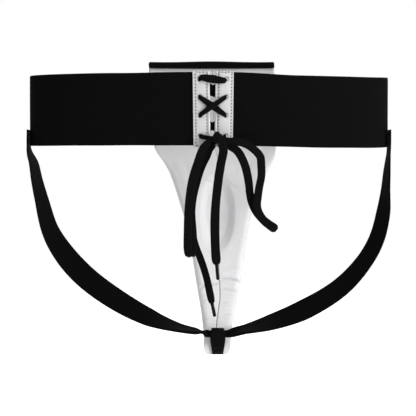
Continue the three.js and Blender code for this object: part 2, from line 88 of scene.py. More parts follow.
HINGE = Vector(next(j["pos_m"] for j in frame["record"]["behaviour"]["joints"] if j["name"] == "pad_fold"))


# Tools: noise, curves and closed meshes

def value_noise(x, y, seed):
    """Smooth noise of two coordinates, from -1 to 1."""
    column, row = np.floor(x), np.floor(y)
    fx, fy = x - column, y - row
    fx, fy = fx * fx * (3 - 2 * fx), fy * fy * (3 - 2 * fy)

    def corner(i, j):
        mixed = np.sin(i * 127.1 + j * 311.7 + seed * 74.7) * 43758.5453
        return 2 * (mixed - np.floor(mixed)) - 1

    low = corner(column, row) * (1 - fx) + corner(column + 1, row) * fx
    high = corner(column, row + 1) * (1 - fx) + corner(column + 1, row + 1) * fx
    return low * (1 - fy) + high * fy


def rough(x, y, size, seed):
    """Three layers of noise whose largest features are about size across."""
    total = 0
    for k in range(3):
        scale = 2 ** k / size
        total = total + value_noise(x * scale + 9.3 * k, y * scale - 4.1 * k, seed + k) / 2 ** k
    return total / 1.6


def smoothstep(x, low, high):
    t = np.clip((x - low) / (high - low), 0, 1)
    return t * t * (3 - 2 * t)


def between(x, rise, fall):
    """0, then 1, then 0 again: it climbs over one stretch of x and drops over a later one."""
    return smoothstep(x, *rise) * (1 - smoothstep(x, *fall))


def bell(x, width):
    """A hump of 1 at 0, as wide as width."""
    return np.exp(-((x / width) ** 2))


def rounded(distance, radius):
    """A quarter circle's drop: 1 at an edge, and 0 from radius inwards."""
    return 1 - np.sqrt(np.clip(1 - (1 - distance / radius).clip(0) ** 2, 0, 1))


def unit(v):
    return v / np.maximum(np.linalg.norm(v, axis=-1, keepdims=True), 1e-12)


def metres(rows):
    """Rows of lengths given in millimetres, in metres."""
    return [tuple(round(value / 1000, 7) for value in row) for row in rows]


def profile(points):
    """A smooth function of a length through (at, value) points in millimetres, in falling order."""
    at, value = np.array(metres(points))[::-1].T
    n = len(at)
    before, after = np.maximum(np.arange(n) - 1, 0), np.minimum(np.arange(n) + 1, n - 1)
    slope = (value[after] - value[before]) / (at[after] - at[before])

    def value_at(x):
        i = np.clip(np.searchsorted(at, x) - 1, 0, n - 2)
        span = at[i + 1] - at[i]
        t = np.clip((x - at[i]) / span, 0, 1)
        rise = t * t * (3 - 2 * t)
        bends = t * (1 - t) ** 2 * slope[i] * span + t * t * (t - 1) * slope[i + 1] * span
        return value[i] + (value[i + 1] - value[i]) * rise + bends

    return value_at


def smooth_route(route, spacing, hints=None):
    """Points about spacing apart on a centripetal curve through the route, and the hints between them."""
    p = np.array(route, float)
    p = np.vstack([2 * p[0] - p[1], p, 2 * p[-1] - p[-2]])
    dense, place = [], []
    for i in range(1, len(p) - 2):
        p0, p1, p2, p3 = p[i - 1:i + 3]
        t1 = np.linalg.norm(p1 - p0) ** 0.5
        t2 = t1 + np.linalg.norm(p2 - p1) ** 0.5
        t3 = t2 + np.linalg.norm(p3 - p2) ** 0.5
        steps = max(int(np.linalg.norm(p2 - p1) / spacing), 2)
        last = i == len(p) - 3
        share = np.linspace(0, 1, steps + last, endpoint=last)
        t = (t1 + (t2 - t1) * share)[:, None]
        a1 = (t1 - t) / t1 * p0 + t / t1 * p1
        a2 = (t2 - t) / (t2 - t1) * p1 + (t - t1) / (t2 - t1) * p2
        a3 = (t3 - t) / (t3 - t2) * p2 + (t - t2) / (t3 - t2) * p3
        b1 = (t2 - t) / t2 * a1 + t / t2 * a2
        b2 = (t3 - t) / (t3 - t1) * a2 + (t - t1) / (t3 - t1) * a3
        dense.append((t2 - t) / (t2 - t1) * b1 + (t - t1) / (t2 - t1) * b2)
        place.append(i - 1 + share)
    line, place = np.vstack(dense), np.concatenate(place)
    if hints is None:
        return line
    hints = np.array(hints, float)
    columns = hints.reshape(len(hints), -1).T
    return line, np.stack([np.interp(place, np.arange(len(hints)), c) for c in columns], axis=1)


def lengths(line):
    """The distance along a line at each of its points."""
    return np.concatenate([[0], np.cumsum(np.linalg.norm(np.diff(line, axis=0), axis=1))])


def piece(name, points, faces, uv, material):
    """A closed mesh object, smooth and facing outwards, with its UV map and its finish."""
    mesh = bpy.data.meshes.new(name)
    mesh.from_pydata(points.tolist(), [], faces)
    layer = mesh.uv_layers.new(name=UV)
    corners = np.zeros(len(mesh.loops), int)
    mesh.loops.foreach_get("vertex_index", corners)
    layer.data.foreach_set("uv", uv[corners].ravel())
    mesh.polygons.foreach_set("use_smooth", [True] * len(mesh.polygons))
    mesh.materials.append(material)
    mesh.update()
    obj = bpy.data.objects.new(name, mesh)
    bpy.context.scene.collection.objects.link(obj)
    return facing(obj)


def quads(rows, columns, start=0, around=False):
    """The faces of a grid of vertices numbered row by row; around joins its last column to its first."""
    i = np.arange(rows - 1)[:, None]
    j = np.arange(columns if around else columns - 1)[None, :]
    k = (j + 1) % columns
    corners = [i * columns + j, i * columns + k, (i + 1) * columns + k, (i + 1) * columns + j]
    return (np.stack(corners, axis=-1).reshape(-1, 4) + start).tolist()


def tube(name, rings, uv, material):
    """A closed body through rings of points, each end closed by a fan."""
    rows, columns = rings.shape[:2]
    ends = np.stack([rings[0].mean(axis=0), rings[-1].mean(axis=0)])
    points = np.vstack([rings.reshape(-1, 3), ends])
    faces = quads(rows, columns, around=True)
    last = (rows - 1) * columns
    for j in range(columns):
        k = (j + 1) % columns
        faces.append([rows * columns, k, j])
        faces.append([rows * columns + 1, last + j, last + k])
    uv = np.vstack([uv.reshape(-1, 2), uv[0].mean(axis=0), uv[-1].mean(axis=0)])
    return piece(name, points, faces, uv, material)


def shell(name, outer, inner, uv, material):
    """A closed sheet from its two faces, grids of points with the same rows and columns."""
    rows, columns = outer.shape[:2]
    n = rows * columns
    points = np.vstack([outer.reshape(-1, 3), inner.reshape(-1, 3)])
    faces = quads(rows, columns) + [f[::-1] for f in quads(rows, columns, n)]
    rim = [i * columns for i in range(rows)]
    rim += [(rows - 1) * columns + j for j in range(1, columns)]
    rim += [i * columns + columns - 1 for i in range(rows - 2, -1, -1)]
    rim += [j for j in range(columns - 2, 0, -1)]
    for a, b in zip(rim, rim[1:] + rim[:1]):
        faces.append([a, b, b + n, a + n])
    return piece(name, points, faces, np.vstack([uv.reshape(-1, 2)] * 2), material)


def facing(obj):
    """Turns a closed piece's faces outwards, if they face inwards."""
    mesh = obj.data
    mesh.calc_loop_triangles()
    points = np.zeros(len(mesh.vertices) * 3)
    mesh.vertices.foreach_get("co", points)
    corners = np.zeros(len(mesh.loop_triangles) * 3, int)
    mesh.loop_triangles.foreach_get("vertices", corners)
    a, b, c = np.moveaxis(points.reshape(-1, 3)[corners.reshape(-1, 3)], 1, 0)
    if (a * np.cross(b, c)).sum() < 0:
        mesh.flip_normals()
    return obj


def grid_normals(grid):
    """Each grid point's normal."""
    return unit(np.cross(np.gradient(grid, axis=1), np.gradient(grid, axis=0)))


def paint(obj, name, values):
    """Stores a number for each vertex, for the piece's material to read."""
    attribute = obj.data.attributes.new(name, "FLOAT", "POINT")
    attribute.data.foreach_set("value", np.asarray(values, np.float32).ravel())


def paint_sheet(obj, painted_shade, edge):
    """Marks where both faces of a leather sheet get painted shade, in creases, seams, folds and holes, and
    where they are worn.
    """
    paint(obj, "painted_shade", [painted_shade, painted_shade])
    paint(obj, "edge", [edge, edge])


SECTION = 28  # points round a ribbon's section


def section(squareness, count):
    """A flat ribbon's outline, (across, through) from -1 to 1. The squarer, the nearer to a rectangle."""
    angle = np.linspace(0, 2 * math.pi, count, endpoint=False) + math.pi / count
    across, through = np.cos(angle), np.sin(angle)
    power = 2 / squareness
    across = np.sign(across) * np.abs(across) ** power
    return across, np.sign(through) * np.abs(through) ** power


def ribbon(name, look, line, wide, width, thickness, squareness, lift=None, count=SECTION):
    """A flat band along a line. wide is its width's direction; lift(across, along) bends it."""
    across, through = section(squareness, count)
    along = lengths(line)
    tangent = unit(np.gradient(line, axis=0))
    wide = unit(wide - tangent * (wide * tangent).sum(axis=1, keepdims=True))
    normal = np.cross(tangent, wide)
    half = np.broadcast_to(width, along.shape)[:, None] / 2 * across
    deep = np.broadcast_to(thickness, along.shape)[:, None] / 2 * through
    if lift is not None:
        deep = deep + lift(np.broadcast_to(across, half.shape), along[:, None])
    rings = line[:, None] + wide[:, None] * half[..., None] + normal[:, None] * deep[..., None]
    uv = np.stack([half, np.broadcast_to(along[:, None], half.shape)], axis=-1)
    return tube(name, rings, uv, look)


def rounded_ends(along, full, size):
    """A width that closes over the last stretch at each end of a line."""
    inset = np.minimum(along, along[-1] - along)
    return full * np.sqrt(np.clip(1 - (1 - np.clip(inset / size, 0, 1)) ** 2, 0.03, 1))


def capsules(name, places, directions, length, radius, material, slot):
    """Many short round-ended threads joined as one piece, each at its place along its direction."""
    columns, rows = 7, 6
    angle = np.linspace(0, 2 * math.pi, columns, endpoint=False)
    lift = np.linspace(-1, 1, rows)
    girth = np.sqrt(np.clip(1 - np.abs(lift) ** 3, 0.05, 1))
    ring = np.stack([np.cos(angle), np.sin(angle)], axis=-1)
    points, faces, uvs = [], [], []
    for place, direction in zip(places, unit(np.asarray(directions, float))):
        side = unit(np.cross(direction, (0.31, 0.87, 0.38)))
        up = np.cross(direction, side)
        circle = ring[:, :1] * side + ring[:, 1:] * up
        start = rows * columns * len(points)
        body = [place + direction * t * length / 2 + circle * g * radius for t, g in zip(lift, girth)]
        points.append(np.vstack(body))
        faces += quads(rows, columns, start, around=True)
        faces.append([start + j for j in range(columns)][::-1])
        faces.append([start + (rows - 1) * columns + j for j in range(columns)])
        uvs.append(np.tile(np.asarray(place)[:2], (rows * columns, 1)))
    return piece(name, np.vstack(points), faces, np.vstack(uvs), material)


def along_line(line, pitch):
    """Places a pitch apart along a line, and the line's direction there."""
    at = lengths(line)
    stops = np.arange(pitch / 2, at[-1], pitch)
    places = np.stack([np.interp(stops, at, line[:, k]) for k in range(3)], axis=1)
    tangent = unit(np.gradient(line, axis=0))
    return places, np.stack([np.interp(stops, at, tangent[:, k]) for k in range(3)], axis=1)


def sew(name, corners, pitch, length, radius, slot, body):
    """Black stitches in straight rows from corner to corner."""
    rows = [along_line(np.array(ends), pitch) for ends in zip(corners, corners[1:])]
    places, directions = (np.vstack(parts) for parts in zip(*rows))
    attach(capsules(name, places, directions, length, radius, BLACK_THREAD, slot), body)


# Materials

class Shader:
    """A material's nodes, and short ways to add and join them."""

    def __init__(self, name):
        self.material = bpy.data.materials.new(name)
        self.material.use_nodes = True
        self.tree = self.material.node_tree
        self.surface = self.tree.nodes["Principled BSDF"]

    def node(self, kind, inputs=None, **settings):
        made = self.tree.nodes.new(kind)
        for key, value in settings.items():
            setattr(made, key, value)
        for key, value in (inputs or {}).items():
            self.give(made.inputs[key], value)
        return made

    def give(self, socket, value):
        if isinstance(value, bpy.types.NodeSocket):
            self.tree.links.new(value, socket)
        else:
            socket.default_value = value

    def cloth(self):
        """The piece's own coordinates: metres across and along."""
        return self.node("ShaderNodeUVMap", uv_map=UV).outputs["UV"]

    def place(self):
        return self.node("ShaderNodeTexCoord").outputs["Object"]

    def noise(self, where, scale, detail=3.0, roughness=0.55):
        inputs = {"Vector": where, "Scale": scale, "Detail": detail, "Roughness": roughness}
        return self.node("ShaderNodeTexNoise", inputs).outputs["Fac"]

    def math(self, operation, a, b=0.0):
        return self.node("ShaderNodeMath", {0: a, 1: b}, operation=operation).outputs[0]

    def times(self, a, b):
        return self.math("MULTIPLY", a, b)

    def plus(self, a, b):
        return self.math("ADD", a, b)

    def axes(self, where):
        """The first two coordinates of a place: for a piece's own, across it and along it."""
        split = self.node("ShaderNodeSeparateXYZ", {"Vector": where}).outputs
        return split["X"], split["Y"]

    def wave(self, value, pitch):
        """A sine of a value, from 0 to 1, that turns once in each pitch."""
        turned = self.times(value, 2 * math.pi / pitch)
        return self.plus(self.times(self.math("SINE", turned), 0.5), 0.5)

    def ramp(self, value, first, last):
        """A grey that goes from one (place, level) to another."""
        made = self.node("ShaderNodeValToRGB", {"Fac": value})
        for element, (at, level) in zip(made.color_ramp.elements, (first, last)):
            element.position = at
            element.color = (level, level, level, 1)
        return made.outputs["Color"]

    def mix(self, factor, a, b):
        made = self.node("ShaderNodeMix", data_type="RGBA")
        self.give(made.inputs["Factor"], factor)
        self.give(made.inputs["A"], (*a, 1) if isinstance(a, tuple) else a)
        self.give(made.inputs["B"], (*b, 1) if isinstance(b, tuple) else b)
        return made.outputs["Result"]

    def attribute(self, name):
        return self.node("ShaderNodeAttribute", attribute_name=name).outputs["Fac"]

    def bump(self, height, distance, strength=1.0, below=None):
        inputs = {"Height": height, "Distance": distance, "Strength": strength}
        if below is not None:
            inputs["Normal"] = below
        return self.node("ShaderNodeBump", inputs).outputs["Normal"]

    def finish(self, **sockets):
        for name, value in sockets.items():
            self.give(self.surface.inputs[name.replace("_", " ")], value)
        return self.material


def grey(level):
    return (level, level, level * 1.01)


def leather_material(name, level=0.84, worn=0.7, shade_level=0.42):
    """White leather: fine pores, a mottled tone, painted shade darkening its creases, seams, folds and needle
    holes, and greyer at its worn edges.
    """
    s = Shader(name)
    where = s.cloth()
    pores = s.node("ShaderNodeTexVoronoi", {"Vector": where, "Scale": 1300.0}).outputs["Distance"]
    grain = s.noise(where, 520.0, 4.0, 0.6)
    mottle = s.noise(where, 42.0, 4.0)
    base = s.mix(s.ramp(mottle, (0.35, 0.0), (0.7, 1.0)), grey(level * 0.965), grey(level))
    # painted shade: darkens the colour where the sheet's creases, seams, folds and holes would be in shade
    shaded = s.mix(s.attribute("painted_shade"), base, grey(shade_level))
    scuffs = s.ramp(s.noise(where, 160.0, 5.0, 0.7), (0.5, 0.0), (0.72, 1.0))
    edge = s.times(s.attribute("edge"), scuffs)
    color = s.mix(edge, shaded, grey(worn))
    low = s.bump(mottle, 0.0004, 0.35)
    fine = s.bump(grain, 0.00012, 0.6, low)
    normal = s.bump(s.ramp(pores, (0.0, 0.0), (0.45, 1.0)), 0.00006, 0.6, fine)
    rough_at = s.plus(s.times(grain, 0.22), 0.38)
    return s.finish(Base_Color=color, Roughness=rough_at, Normal=normal, Specular_IOR_Level=0.35)


def knit_material(name, level, rib=0.0019, stitch=0.0011):
    """Knitted elastic: rows of ribs along it, crossed by the stitches, with a little lint."""
    s = Shader(name)
    where = s.cloth()
    across, along = s.axes(where)
    wander = s.times(s.noise(where, 90.0, 2.0), 0.0012)
    ribs = s.wave(s.plus(across, wander), rib)
    rows = s.wave(s.plus(along, s.times(ribs, stitch / 2)), stitch)
    weave = s.times(ribs, s.plus(s.times(rows, 0.5), 0.5))
    lint = s.ramp(s.noise(where, 1900.0, 2.0, 0.8), (0.62, 0.0), (0.8, 1.0))
    tone = s.plus(s.times(weave, 0.75), s.times(s.noise(where, 35.0), 0.25))
    color = s.mix(tone, grey(level * 0.55), grey(level * 1.35))
    color = s.mix(s.times(lint, 0.25), color, grey(level * 4))
    low = s.bump(s.noise(where, 60.0, 3.0), 0.0006, 0.3)
    normal = s.bump(weave, 0.00022, 0.8, low)
    return s.finish(Base_Color=color, Roughness=0.88, Normal=normal, Specular_IOR_Level=0.05,
                    Sheen_Weight=0.012, Sheen_Roughness=0.45)


def lace_material(name, level=0.0036):
    """A flat woven lace: two herringbone halves that meet on its middle line."""
    s = Shader(name)
    where = s.cloth()
    across, along = s.axes(where)
    slant = s.plus(along, s.times(s.math("ABSOLUTE", across), 1.1))
    twill = s.wave(slant, 0.00125)
    yarns = s.wave(across, 0.00105)
    weave = s.times(twill, s.plus(s.times(yarns, 0.6), 0.4))
    fuzz = s.noise(where, 2600.0, 2.0, 0.8)
    tone = s.plus(s.times(weave, 0.7), s.times(fuzz, 0.3))
    color = s.mix(tone, grey(level * 0.5), grey(level * 1.7))
    normal = s.bump(weave, 0.0002, 0.85, s.bump(fuzz, 0.00008, 0.5))
    return s.finish(Base_Color=color, Roughness=0.82, Normal=normal, Specular_IOR_Level=0.06,
                    Sheen_Weight=0.015, Sheen_Roughness=0.4)


def tape_material(name, level, pitch):
    """Webbing or binding tape: plain woven ribs across it, and fine yarns along it."""
    s = Shader(name)
    where = s.cloth()
    across, along = s.axes(where)
    ribs = s.wave(along, pitch)
    yarns = s.wave(across, pitch * 1.15)
    weave = s.times(s.plus(ribs, yarns), 0.5)
    worn = s.noise(where, 240.0, 4.0, 0.7)
    color = s.mix(s.times(weave, worn), grey(level * 0.5), grey(level * 2.2))
    normal = s.bump(weave, 0.00018, 0.8, s.bump(worn, 0.0002, 0.3))
    return s.finish(Base_Color=color, Roughness=0.7, Normal=normal, Specular_IOR_Level=0.06,
                    Sheen_Weight=0.01, Sheen_Roughness=0.4)


def thread_material(name, level):
    """Sewing thread: a tight twist, with its tone changing from stitch to stitch."""
    s = Shader(name)
    where = s.place()
    twist = s.noise(where, 5200.0, 2.0)
    color = s.mix(s.noise(where, 300.0), grey(level * 0.8), grey(level))
    return s.finish(Base_Color=color, Roughness=0.6, Normal=s.bump(twist, 0.00006, 0.6))


def aglet_material():
    """A shrunk plastic tip: glossy, with the lace's twist showing through and small scratches."""
    s = Shader("aglet_plastic")
    where = s.cloth()
    across, along = s.axes(where)
    twist = s.wave(s.plus(along, s.times(across, 0.8)), 0.0016)
    scratches = s.noise(where, 900.0, 4.0, 0.7)
    color = s.mix(twist, grey(0.002), grey(0.0045))
    shine = s.plus(s.times(scratches, 0.3), 0.28)
    return s.finish(Base_Color=color, Roughness=shine, Normal=s.bump(twist, 0.00008, 0.4),
                    Specular_IOR_Level=0.12)


def foam_material():
    """Open foam: a cream block full of small cells, with painted shade darkening each cell's hollow middle.
    """
    s = Shader("open_foam")
    where = s.place()
    cells = s.node("ShaderNodeTexVoronoi", {"Vector": where, "Scale": 900.0}).outputs["Distance"]
    color = s.mix(s.noise(where, 60.0), (0.62, 0.58, 0.45), (0.72, 0.69, 0.58))
    # painted shade in the middle of each cell
    color = s.mix(s.ramp(cells, (0.0, 0.6), (0.4, 0.0)), color, (0.42, 0.39, 0.3))
    return s.finish(Base_Color=color, Roughness=0.95, Normal=s.bump(cells, 0.0004, 0.8))


def fibre_material():
    """Pressed fibre sheet, with loose fibres and a waxed face."""
    s = Shader("fibre_sheet")
    where = s.place()
    fibres = s.noise(where, 1400.0, 5.0, 0.7)
    color = s.mix(fibres, (0.46, 0.43, 0.36), (0.6, 0.57, 0.5))
    return s.finish(Base_Color=color, Roughness=0.75, Normal=s.bump(fibres, 0.0001, 0.6))


def steel_material():
    """Pressed steel with a brushed grain and draw marks."""
    s = Shader("pressed_steel")
    stretched = s.node("ShaderNodeMapping", {"Vector": s.place(), "Scale": (300.0, 300.0, 9.0)})
    grain = s.noise(stretched.outputs["Vector"], 8.0, 4.0, 0.7)
    color = s.mix(grain, (0.5, 0.51, 0.52), (0.66, 0.67, 0.68))
    shine = s.plus(s.times(grain, 0.25), 0.2)
    return s.finish(Base_Color=color, Metallic=1.0, Roughness=shine, Normal=s.bump(grain, 0.00005, 0.4))


LEATHER_LOOK = leather_material("white_leather")
# the panels' painted shade is near black, for their needle holes and hole rims
PANEL_LOOK = leather_material("white_leather_panel", 0.66, 0.54, 0.03)
PIPING_LOOK = leather_material("white_leather_piping", 0.76, 0.66)
KNIT_LOOK = knit_material("black_knitted_elastic", 0.003)
STRAP_LOOK = knit_material("black_strap_elastic", 0.0024, 0.0016, 0.001)
LACE_LOOK = lace_material("black_lace")
BINDING_LOOK = tape_material("black_binding_tape", 0.002, 0.0008)
WEBBING_LOOK = tape_material("black_webbing", 0.0028, 0.0015)
WHITE_THREAD = thread_material("white_thread", 0.62)
BLACK_THREAD = thread_material("black_thread", 0.014)
AGLET_LOOK = aglet_material()

# Camera: behind the wearer, level with the bottom of the waistband, looking a little down

EYE = Vector((-0.00106, -1.347, -0.0672))
PITCH_DOWN = math.radians(1.63)
LENS = 106.4


def add_camera():
    data = bpy.data.cameras.new("camera")
    data.lens = LENS
    data.sensor_width = 36
    data.clip_start = 0.05
    data.clip_end = 50
    camera = bpy.data.objects.new("camera", data)
    camera.location = EYE
    camera.rotation_euler = (math.pi / 2 - PITCH_DOWN, 0, 0)
    bpy.context.scene.collection.objects.link(camera)
    bpy.context.scene.camera = camera


add_camera()

# The bow: two loops and two tails of the lace, which hang free from the knot

LEFT_LOOP = metres([
    (-1.5, -59, -35.5), (-7.2, -59.4, -43.5), (-11.8, -60, -55.6), (-17.4, -60, -74.6),
    (-20.8, -60, -95.6), (-22, -60, -112.4), (-22.4, -60, -131.3), (-22.2, -60, -148), (-21, -58.6, -153),
    (-19.8, -56.5, -154.6), (-18.6, -54.4, -153.2), (-16.6, -53, -148), (-17.2, -53, -131.3),
    (-18.6, -53, -112.4), (-18.6, -53, -95.6), (-16, -53, -74.6), (-9.4, -53.6, -55.6),
    (-4.6, -54.6, -45.5), (0.8, -55.2, -39.2),
])
RIGHT_LOOP = metres([
    (17.6, -58.6, -33.4), (22.2, -58.8, -33.8), (36.4, -59, -36.2), (46.8, -59, -42.4),
    (53.6, -59, -50.2), (54.6, -59, -58), (54.8, -59, -70.4), (52.6, -59, -82), (51.2, -59, -91),
    (50.2, -59, -100.8), (51.6, -59, -107.6), (57, -59, -116.4), (67.6, -58.4, -124.6),
    (70.4, -56.7, -126.7), (67.2, -55, -124.2), (56, -54.2, -115.4), (49.4, -54, -107.2),
    (45, -54, -97.8), (42.8, -54, -87.6), (42.2, -54, -80.8), (40.2, -54, -68.4), (36.4, -54, -55.6),
    (29.4, -54, -43.8), (21.4, -54.2, -39.4),
])
LEFT_TAIL = metres([
    (0.6, -51.9, -44.4), (-1.2, -51.9, -48), (-5.6, -50.8, -56.4), (-9.2, -50.4, -65.4),
    (-12, -50.4, -74.6), (-14.8, -50.4, -85), (-17, -50.4, -95.6), (-18.6, -50.4, -112.4),
    (-18.4, -50.4, -122), (-17.4, -50.4, -131.3), (-14.2, -50.6, -144), (-9.4, -51, -156.6),
    (-5, -51.4, -169.2), (-1.6, -51.6, -181.8), (1, -51.8, -194.4), (3.2, -52, -204.8),
])
MIDDLE_TAIL = metres([
    (12.2, -63.6, -31.4), (13.2, -63.6, -35), (15, -63, -43), (14.2, -62.2, -49.2), (12.8, -61.6, -55.6),
    (11.7, -61, -62), (10.6, -60.6, -68.4), (9, -60, -81), (7.6, -60, -93.4), (6.6, -60, -106),
    (6.2, -60, -118.8), (6.2, -60, -131.4), (6.6, -60, -144), (7.2, -60, -154), (8, -60, -163.4),
])
LACE_STEP = 0.0008
LACE_TAPER = 0.008  # the length over which a lace narrows into its aglet
KNOT_PINCH = 0.009  # the length over which a lace is gathered beside the knot
AGLET_GIRTH = 0.0036


def lace_widths(route):
    """The direction of a lace's width at each point: square to its course, and it folds over at a turn."""
    points, depth, widths, side = np.array(route), np.array((0.0, 1.0, 0.0)), [], 1
    for i in range(len(points)):
        along = points[min(i + 1, len(points) - 1)] - points[max(i - 1, 0)]
        if abs(along[1]) > 0.6 * np.linalg.norm(along):
            widths.append(widths[-1])
            continue
        width = unit(side * np.cross(along, depth))
        if widths and width @ widths[-1] < 0:
            side, width = -side, -width
        widths.append(width)
    return widths


def lace_lift(amount, seed):
    """A lace's slight cupping and ripple."""
    def lift(across, along):
        cup = amount * 0.5 * across ** 2 * (0.6 + value_noise(along * 38, 0 * along, seed))
        return cup + amount * 0.4 * rough(across * 0.004, along + 0 * across, 0.012, seed)
    return lift


def lace_ribbon(name, line, wide, width, thickness, squareness, ripple, seed):
    lift = lace_lift(ripple, seed)
    return ribbon(name, LACE_LOOK, line, wide, width, thickness, squareness, lift)


def hanging_lace(name, route, node, far_end, scale=1.0, seed=1, flare=0.0):
    """One hanging stretch of the lace. A loop runs back into the knot, and a tail narrows to its aglet."""
    loop = far_end == "object"
    line, wide = smooth_route(route, LACE_STEP, lace_widths(route))
    at = lengths(line)
    breadth = LACE_WIDTH * scale * (1 + 0.05 * value_noise(at * 45, 0 * at, seed))
    thickness = LACE_THICKNESS * (1 + 0.12 * value_noise(at * 70, 0 * at + 5, seed))
    pinch = smoothstep(at, 0, KNOT_PINCH)
    if loop:
        pinch = pinch * smoothstep(at[-1] - at, 0, KNOT_PINCH)
        apex = at[np.argmax(np.abs(np.gradient(line[:, 1])))]
        breadth = breadth * (1 + flare * bell(at - apex, 0.009)) * (1 - 0.5 * bell(at - apex, 0.0016))
        thickness = thickness + 0.0006 * bell(at - apex, 0.0018)
    else:
        closed = rounded(at[-1] - at, LACE_TAPER)
        breadth = AGLET_GIRTH + (breadth - AGLET_GIRTH) * (1 - closed)
        thickness = thickness + (AGLET_GIRTH - LACE_THICKNESS) * closed
    breadth = breadth * (0.84 + 0.16 * pinch)
    lace = lace_ribbon(name, line, wide, breadth, thickness, 2.8, 0.0005, seed)
    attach(lace, "bow")
    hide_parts(node)
    return lace


def aglet(name, node, route):
    """The tip's sleeve: crimped round the lace at its neck, and closed round at its end."""
    low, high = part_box(node)
    line = smooth_route(route, LACE_STEP)
    along = unit(line[-1] - line[-4])
    middle = np.array((low + high) / 2)
    reach = (middle - line[-1]) @ along * 2
    steps = np.linspace(-0.0012, reach, 60)
    crimps = 0.1 * bell(steps - 0.001, 0.0007) - 0.09 * bell(steps - 0.003, 0.0006)
    girth = 0.5 * AGLET_GIRTH * (1 + crimps)
    girth = girth * np.sqrt(np.clip((reach - steps) / 0.0011, 0.02, 1))
    side = unit(np.cross(along, (0, 1, 0)))
    core = line[-1] + steps[:, None] * along
    tip = ribbon(name, AGLET_LOOK, core, np.tile(side, (len(core), 1)), 2 * girth, 1.86 * girth, 2,
                 count=16)
    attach(tip, "bow")
    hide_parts(node)
    return tip


left_aglet = aglet("aglet_left", "lace_aglet_left", LEFT_TAIL)
middle_aglet = aglet("aglet_middle", "lace_aglet_middle", MIDDLE_TAIL)
hanging_lace("lace_loop_left", LEFT_LOOP, "bow_loop_left", "object", seed=2)
hanging_lace("lace_loop_right", RIGHT_LOOP, "bow_loop_right", "object", seed=3, flare=0.15)
hanging_lace("lace_end_left", LEFT_TAIL, "lace_tail_left", "fitting", 0.88, 4)
hanging_lace("lace_end_middle", MIDDLE_TAIL, "lace_tail_middle", "fitting", 1.13, 5)


# The knot's turns of lace: each one's tilt in radians, its radii, its place from the middle and its width
KNOT_TURNS = [
    (0.05, (0.0058, 0.0052), (-0.0006, 0, -0.0012), 0.0074),
    (1.7, (0.0057, 0.0046), (0, 0, 0), 0.0072),
]
# The laces that run into it: the hanging stretch, the point inside the knot and the width
KNOT_RUNS = [
    (LEFT_LOOP, (0.004, -0.0586, -0.0305), 0.00624), (LEFT_LOOP[::-1], (0.0065, -0.0558, -0.0335), 0.00624),
    (RIGHT_LOOP, (0.0112, -0.0578, -0.0308), 0.00688),
    (RIGHT_LOOP[::-1], (0.0125, -0.0555, -0.034), 0.00624),
    (LEFT_TAIL, (0.0058, -0.0545, -0.0365), 0.0056), (MIDDLE_TAIL, (0.0104, -0.0612, -0.0292), 0.00528),
]


def wrap_points(tilt, radii, centre, count=140):
    """An oval ring round the knot, its lace's width's direction, and how it narrows where it turns back."""
    angle = np.linspace(0, 2 * math.pi, count)
    plane = Vector((math.cos(tilt), 0, math.sin(tilt)))
    width = np.array((-math.sin(tilt), 0.0, math.cos(tilt)))
    ring = [centre + plane * math.cos(a) * radii[0] + Vector((0, math.sin(a) * radii[1], 0)) for a in angle]
    narrowed = 0.66 + 0.34 * np.sin(angle) ** 2
    return np.array(ring), np.tile(width, (count, 1)), narrowed


def knot():
    """Two turns of lace pulled tight over a bunched core."""
    angle, height = np.meshgrid(np.linspace(0, 2 * math.pi, 56, endpoint=False), np.linspace(-1, 1, 40))
    girth = np.sqrt(np.clip(1 - height ** 2, 0.0004, 1))
    bunch = 1 + 0.07 * np.sin(3 * angle + 4 * height) + 0.08 * rough(angle * 0.004, height * 0.006, 0.004, 8)
    size = np.array(KNOT_RADII) * 0.86
    core = np.stack([np.cos(angle) * girth * bunch * size[0], np.sin(angle) * girth * bunch * size[1],
                     height * size[2]], axis=-1) + np.array(KNOT)
    uv = np.stack([angle * 0.005, height * 0.006], axis=-1)
    parts = [tube("knot_core", core, uv, LACE_LOOK)]
    for i, (tilt, radii, shift, width) in enumerate(KNOT_TURNS):
        line, wide, narrowed = wrap_points(tilt, radii, KNOT + Vector(shift))
        parts.append(lace_ribbon(f"knot_turn_{i}", line, wide, width * narrowed, 0.0014, 2.4, 0.0009, 20 + i))
    for i, (route, root, width) in enumerate(KNOT_RUNS):
        start, after = np.array(route[0]), np.array(route[1])
        points = [root, start, start + (after - start) * 0.6]
        line, wide = smooth_route(points, 0.0005, lace_widths(route)[:1] * 3)
        breadth = rounded_ends(lengths(line), width, 0.0026)
        parts.append(lace_ribbon(f"knot_run_{i}", line, wide, breadth, 0.0016, 2.2, 0.0005, 30 + i))
    return join("lace_knot", parts)


def join(name, parts):
    """One piece from several, which keeps the first one's finish."""
    bpy.ops.object.select_all(action="DESELECT")
    for part in parts:
        part.select_set(True)
    bpy.context.view_layer.objects.active = parts[0]
    bpy.ops.object.join()
    parts[0].name = parts[0].data.name = name
    return parts[0]


knot_piece = knot()
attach(knot_piece, "bow")
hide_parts("bow_knot")

# The laced stretch, through the panels' eight holes

# The middle of the lace on both faces of the panels, and where it crosses over itself
OUTSIDE = OUTER_PLY_FRONT - GAP - LACE_THICKNESS
INSIDE = INNER_PLY_FRONT + PLY + 2 * GAP + LACE_THICKNESS / 1.4
OUTSIDE_TOP = OUTSIDE - LACE_THICKNESS - 2 * GAP
INSIDE_TOP = INSIDE + LACE_THICKNESS + 2 * GAP
CORNER = 0.0022  # how far from a hole's middle the lace lies flat

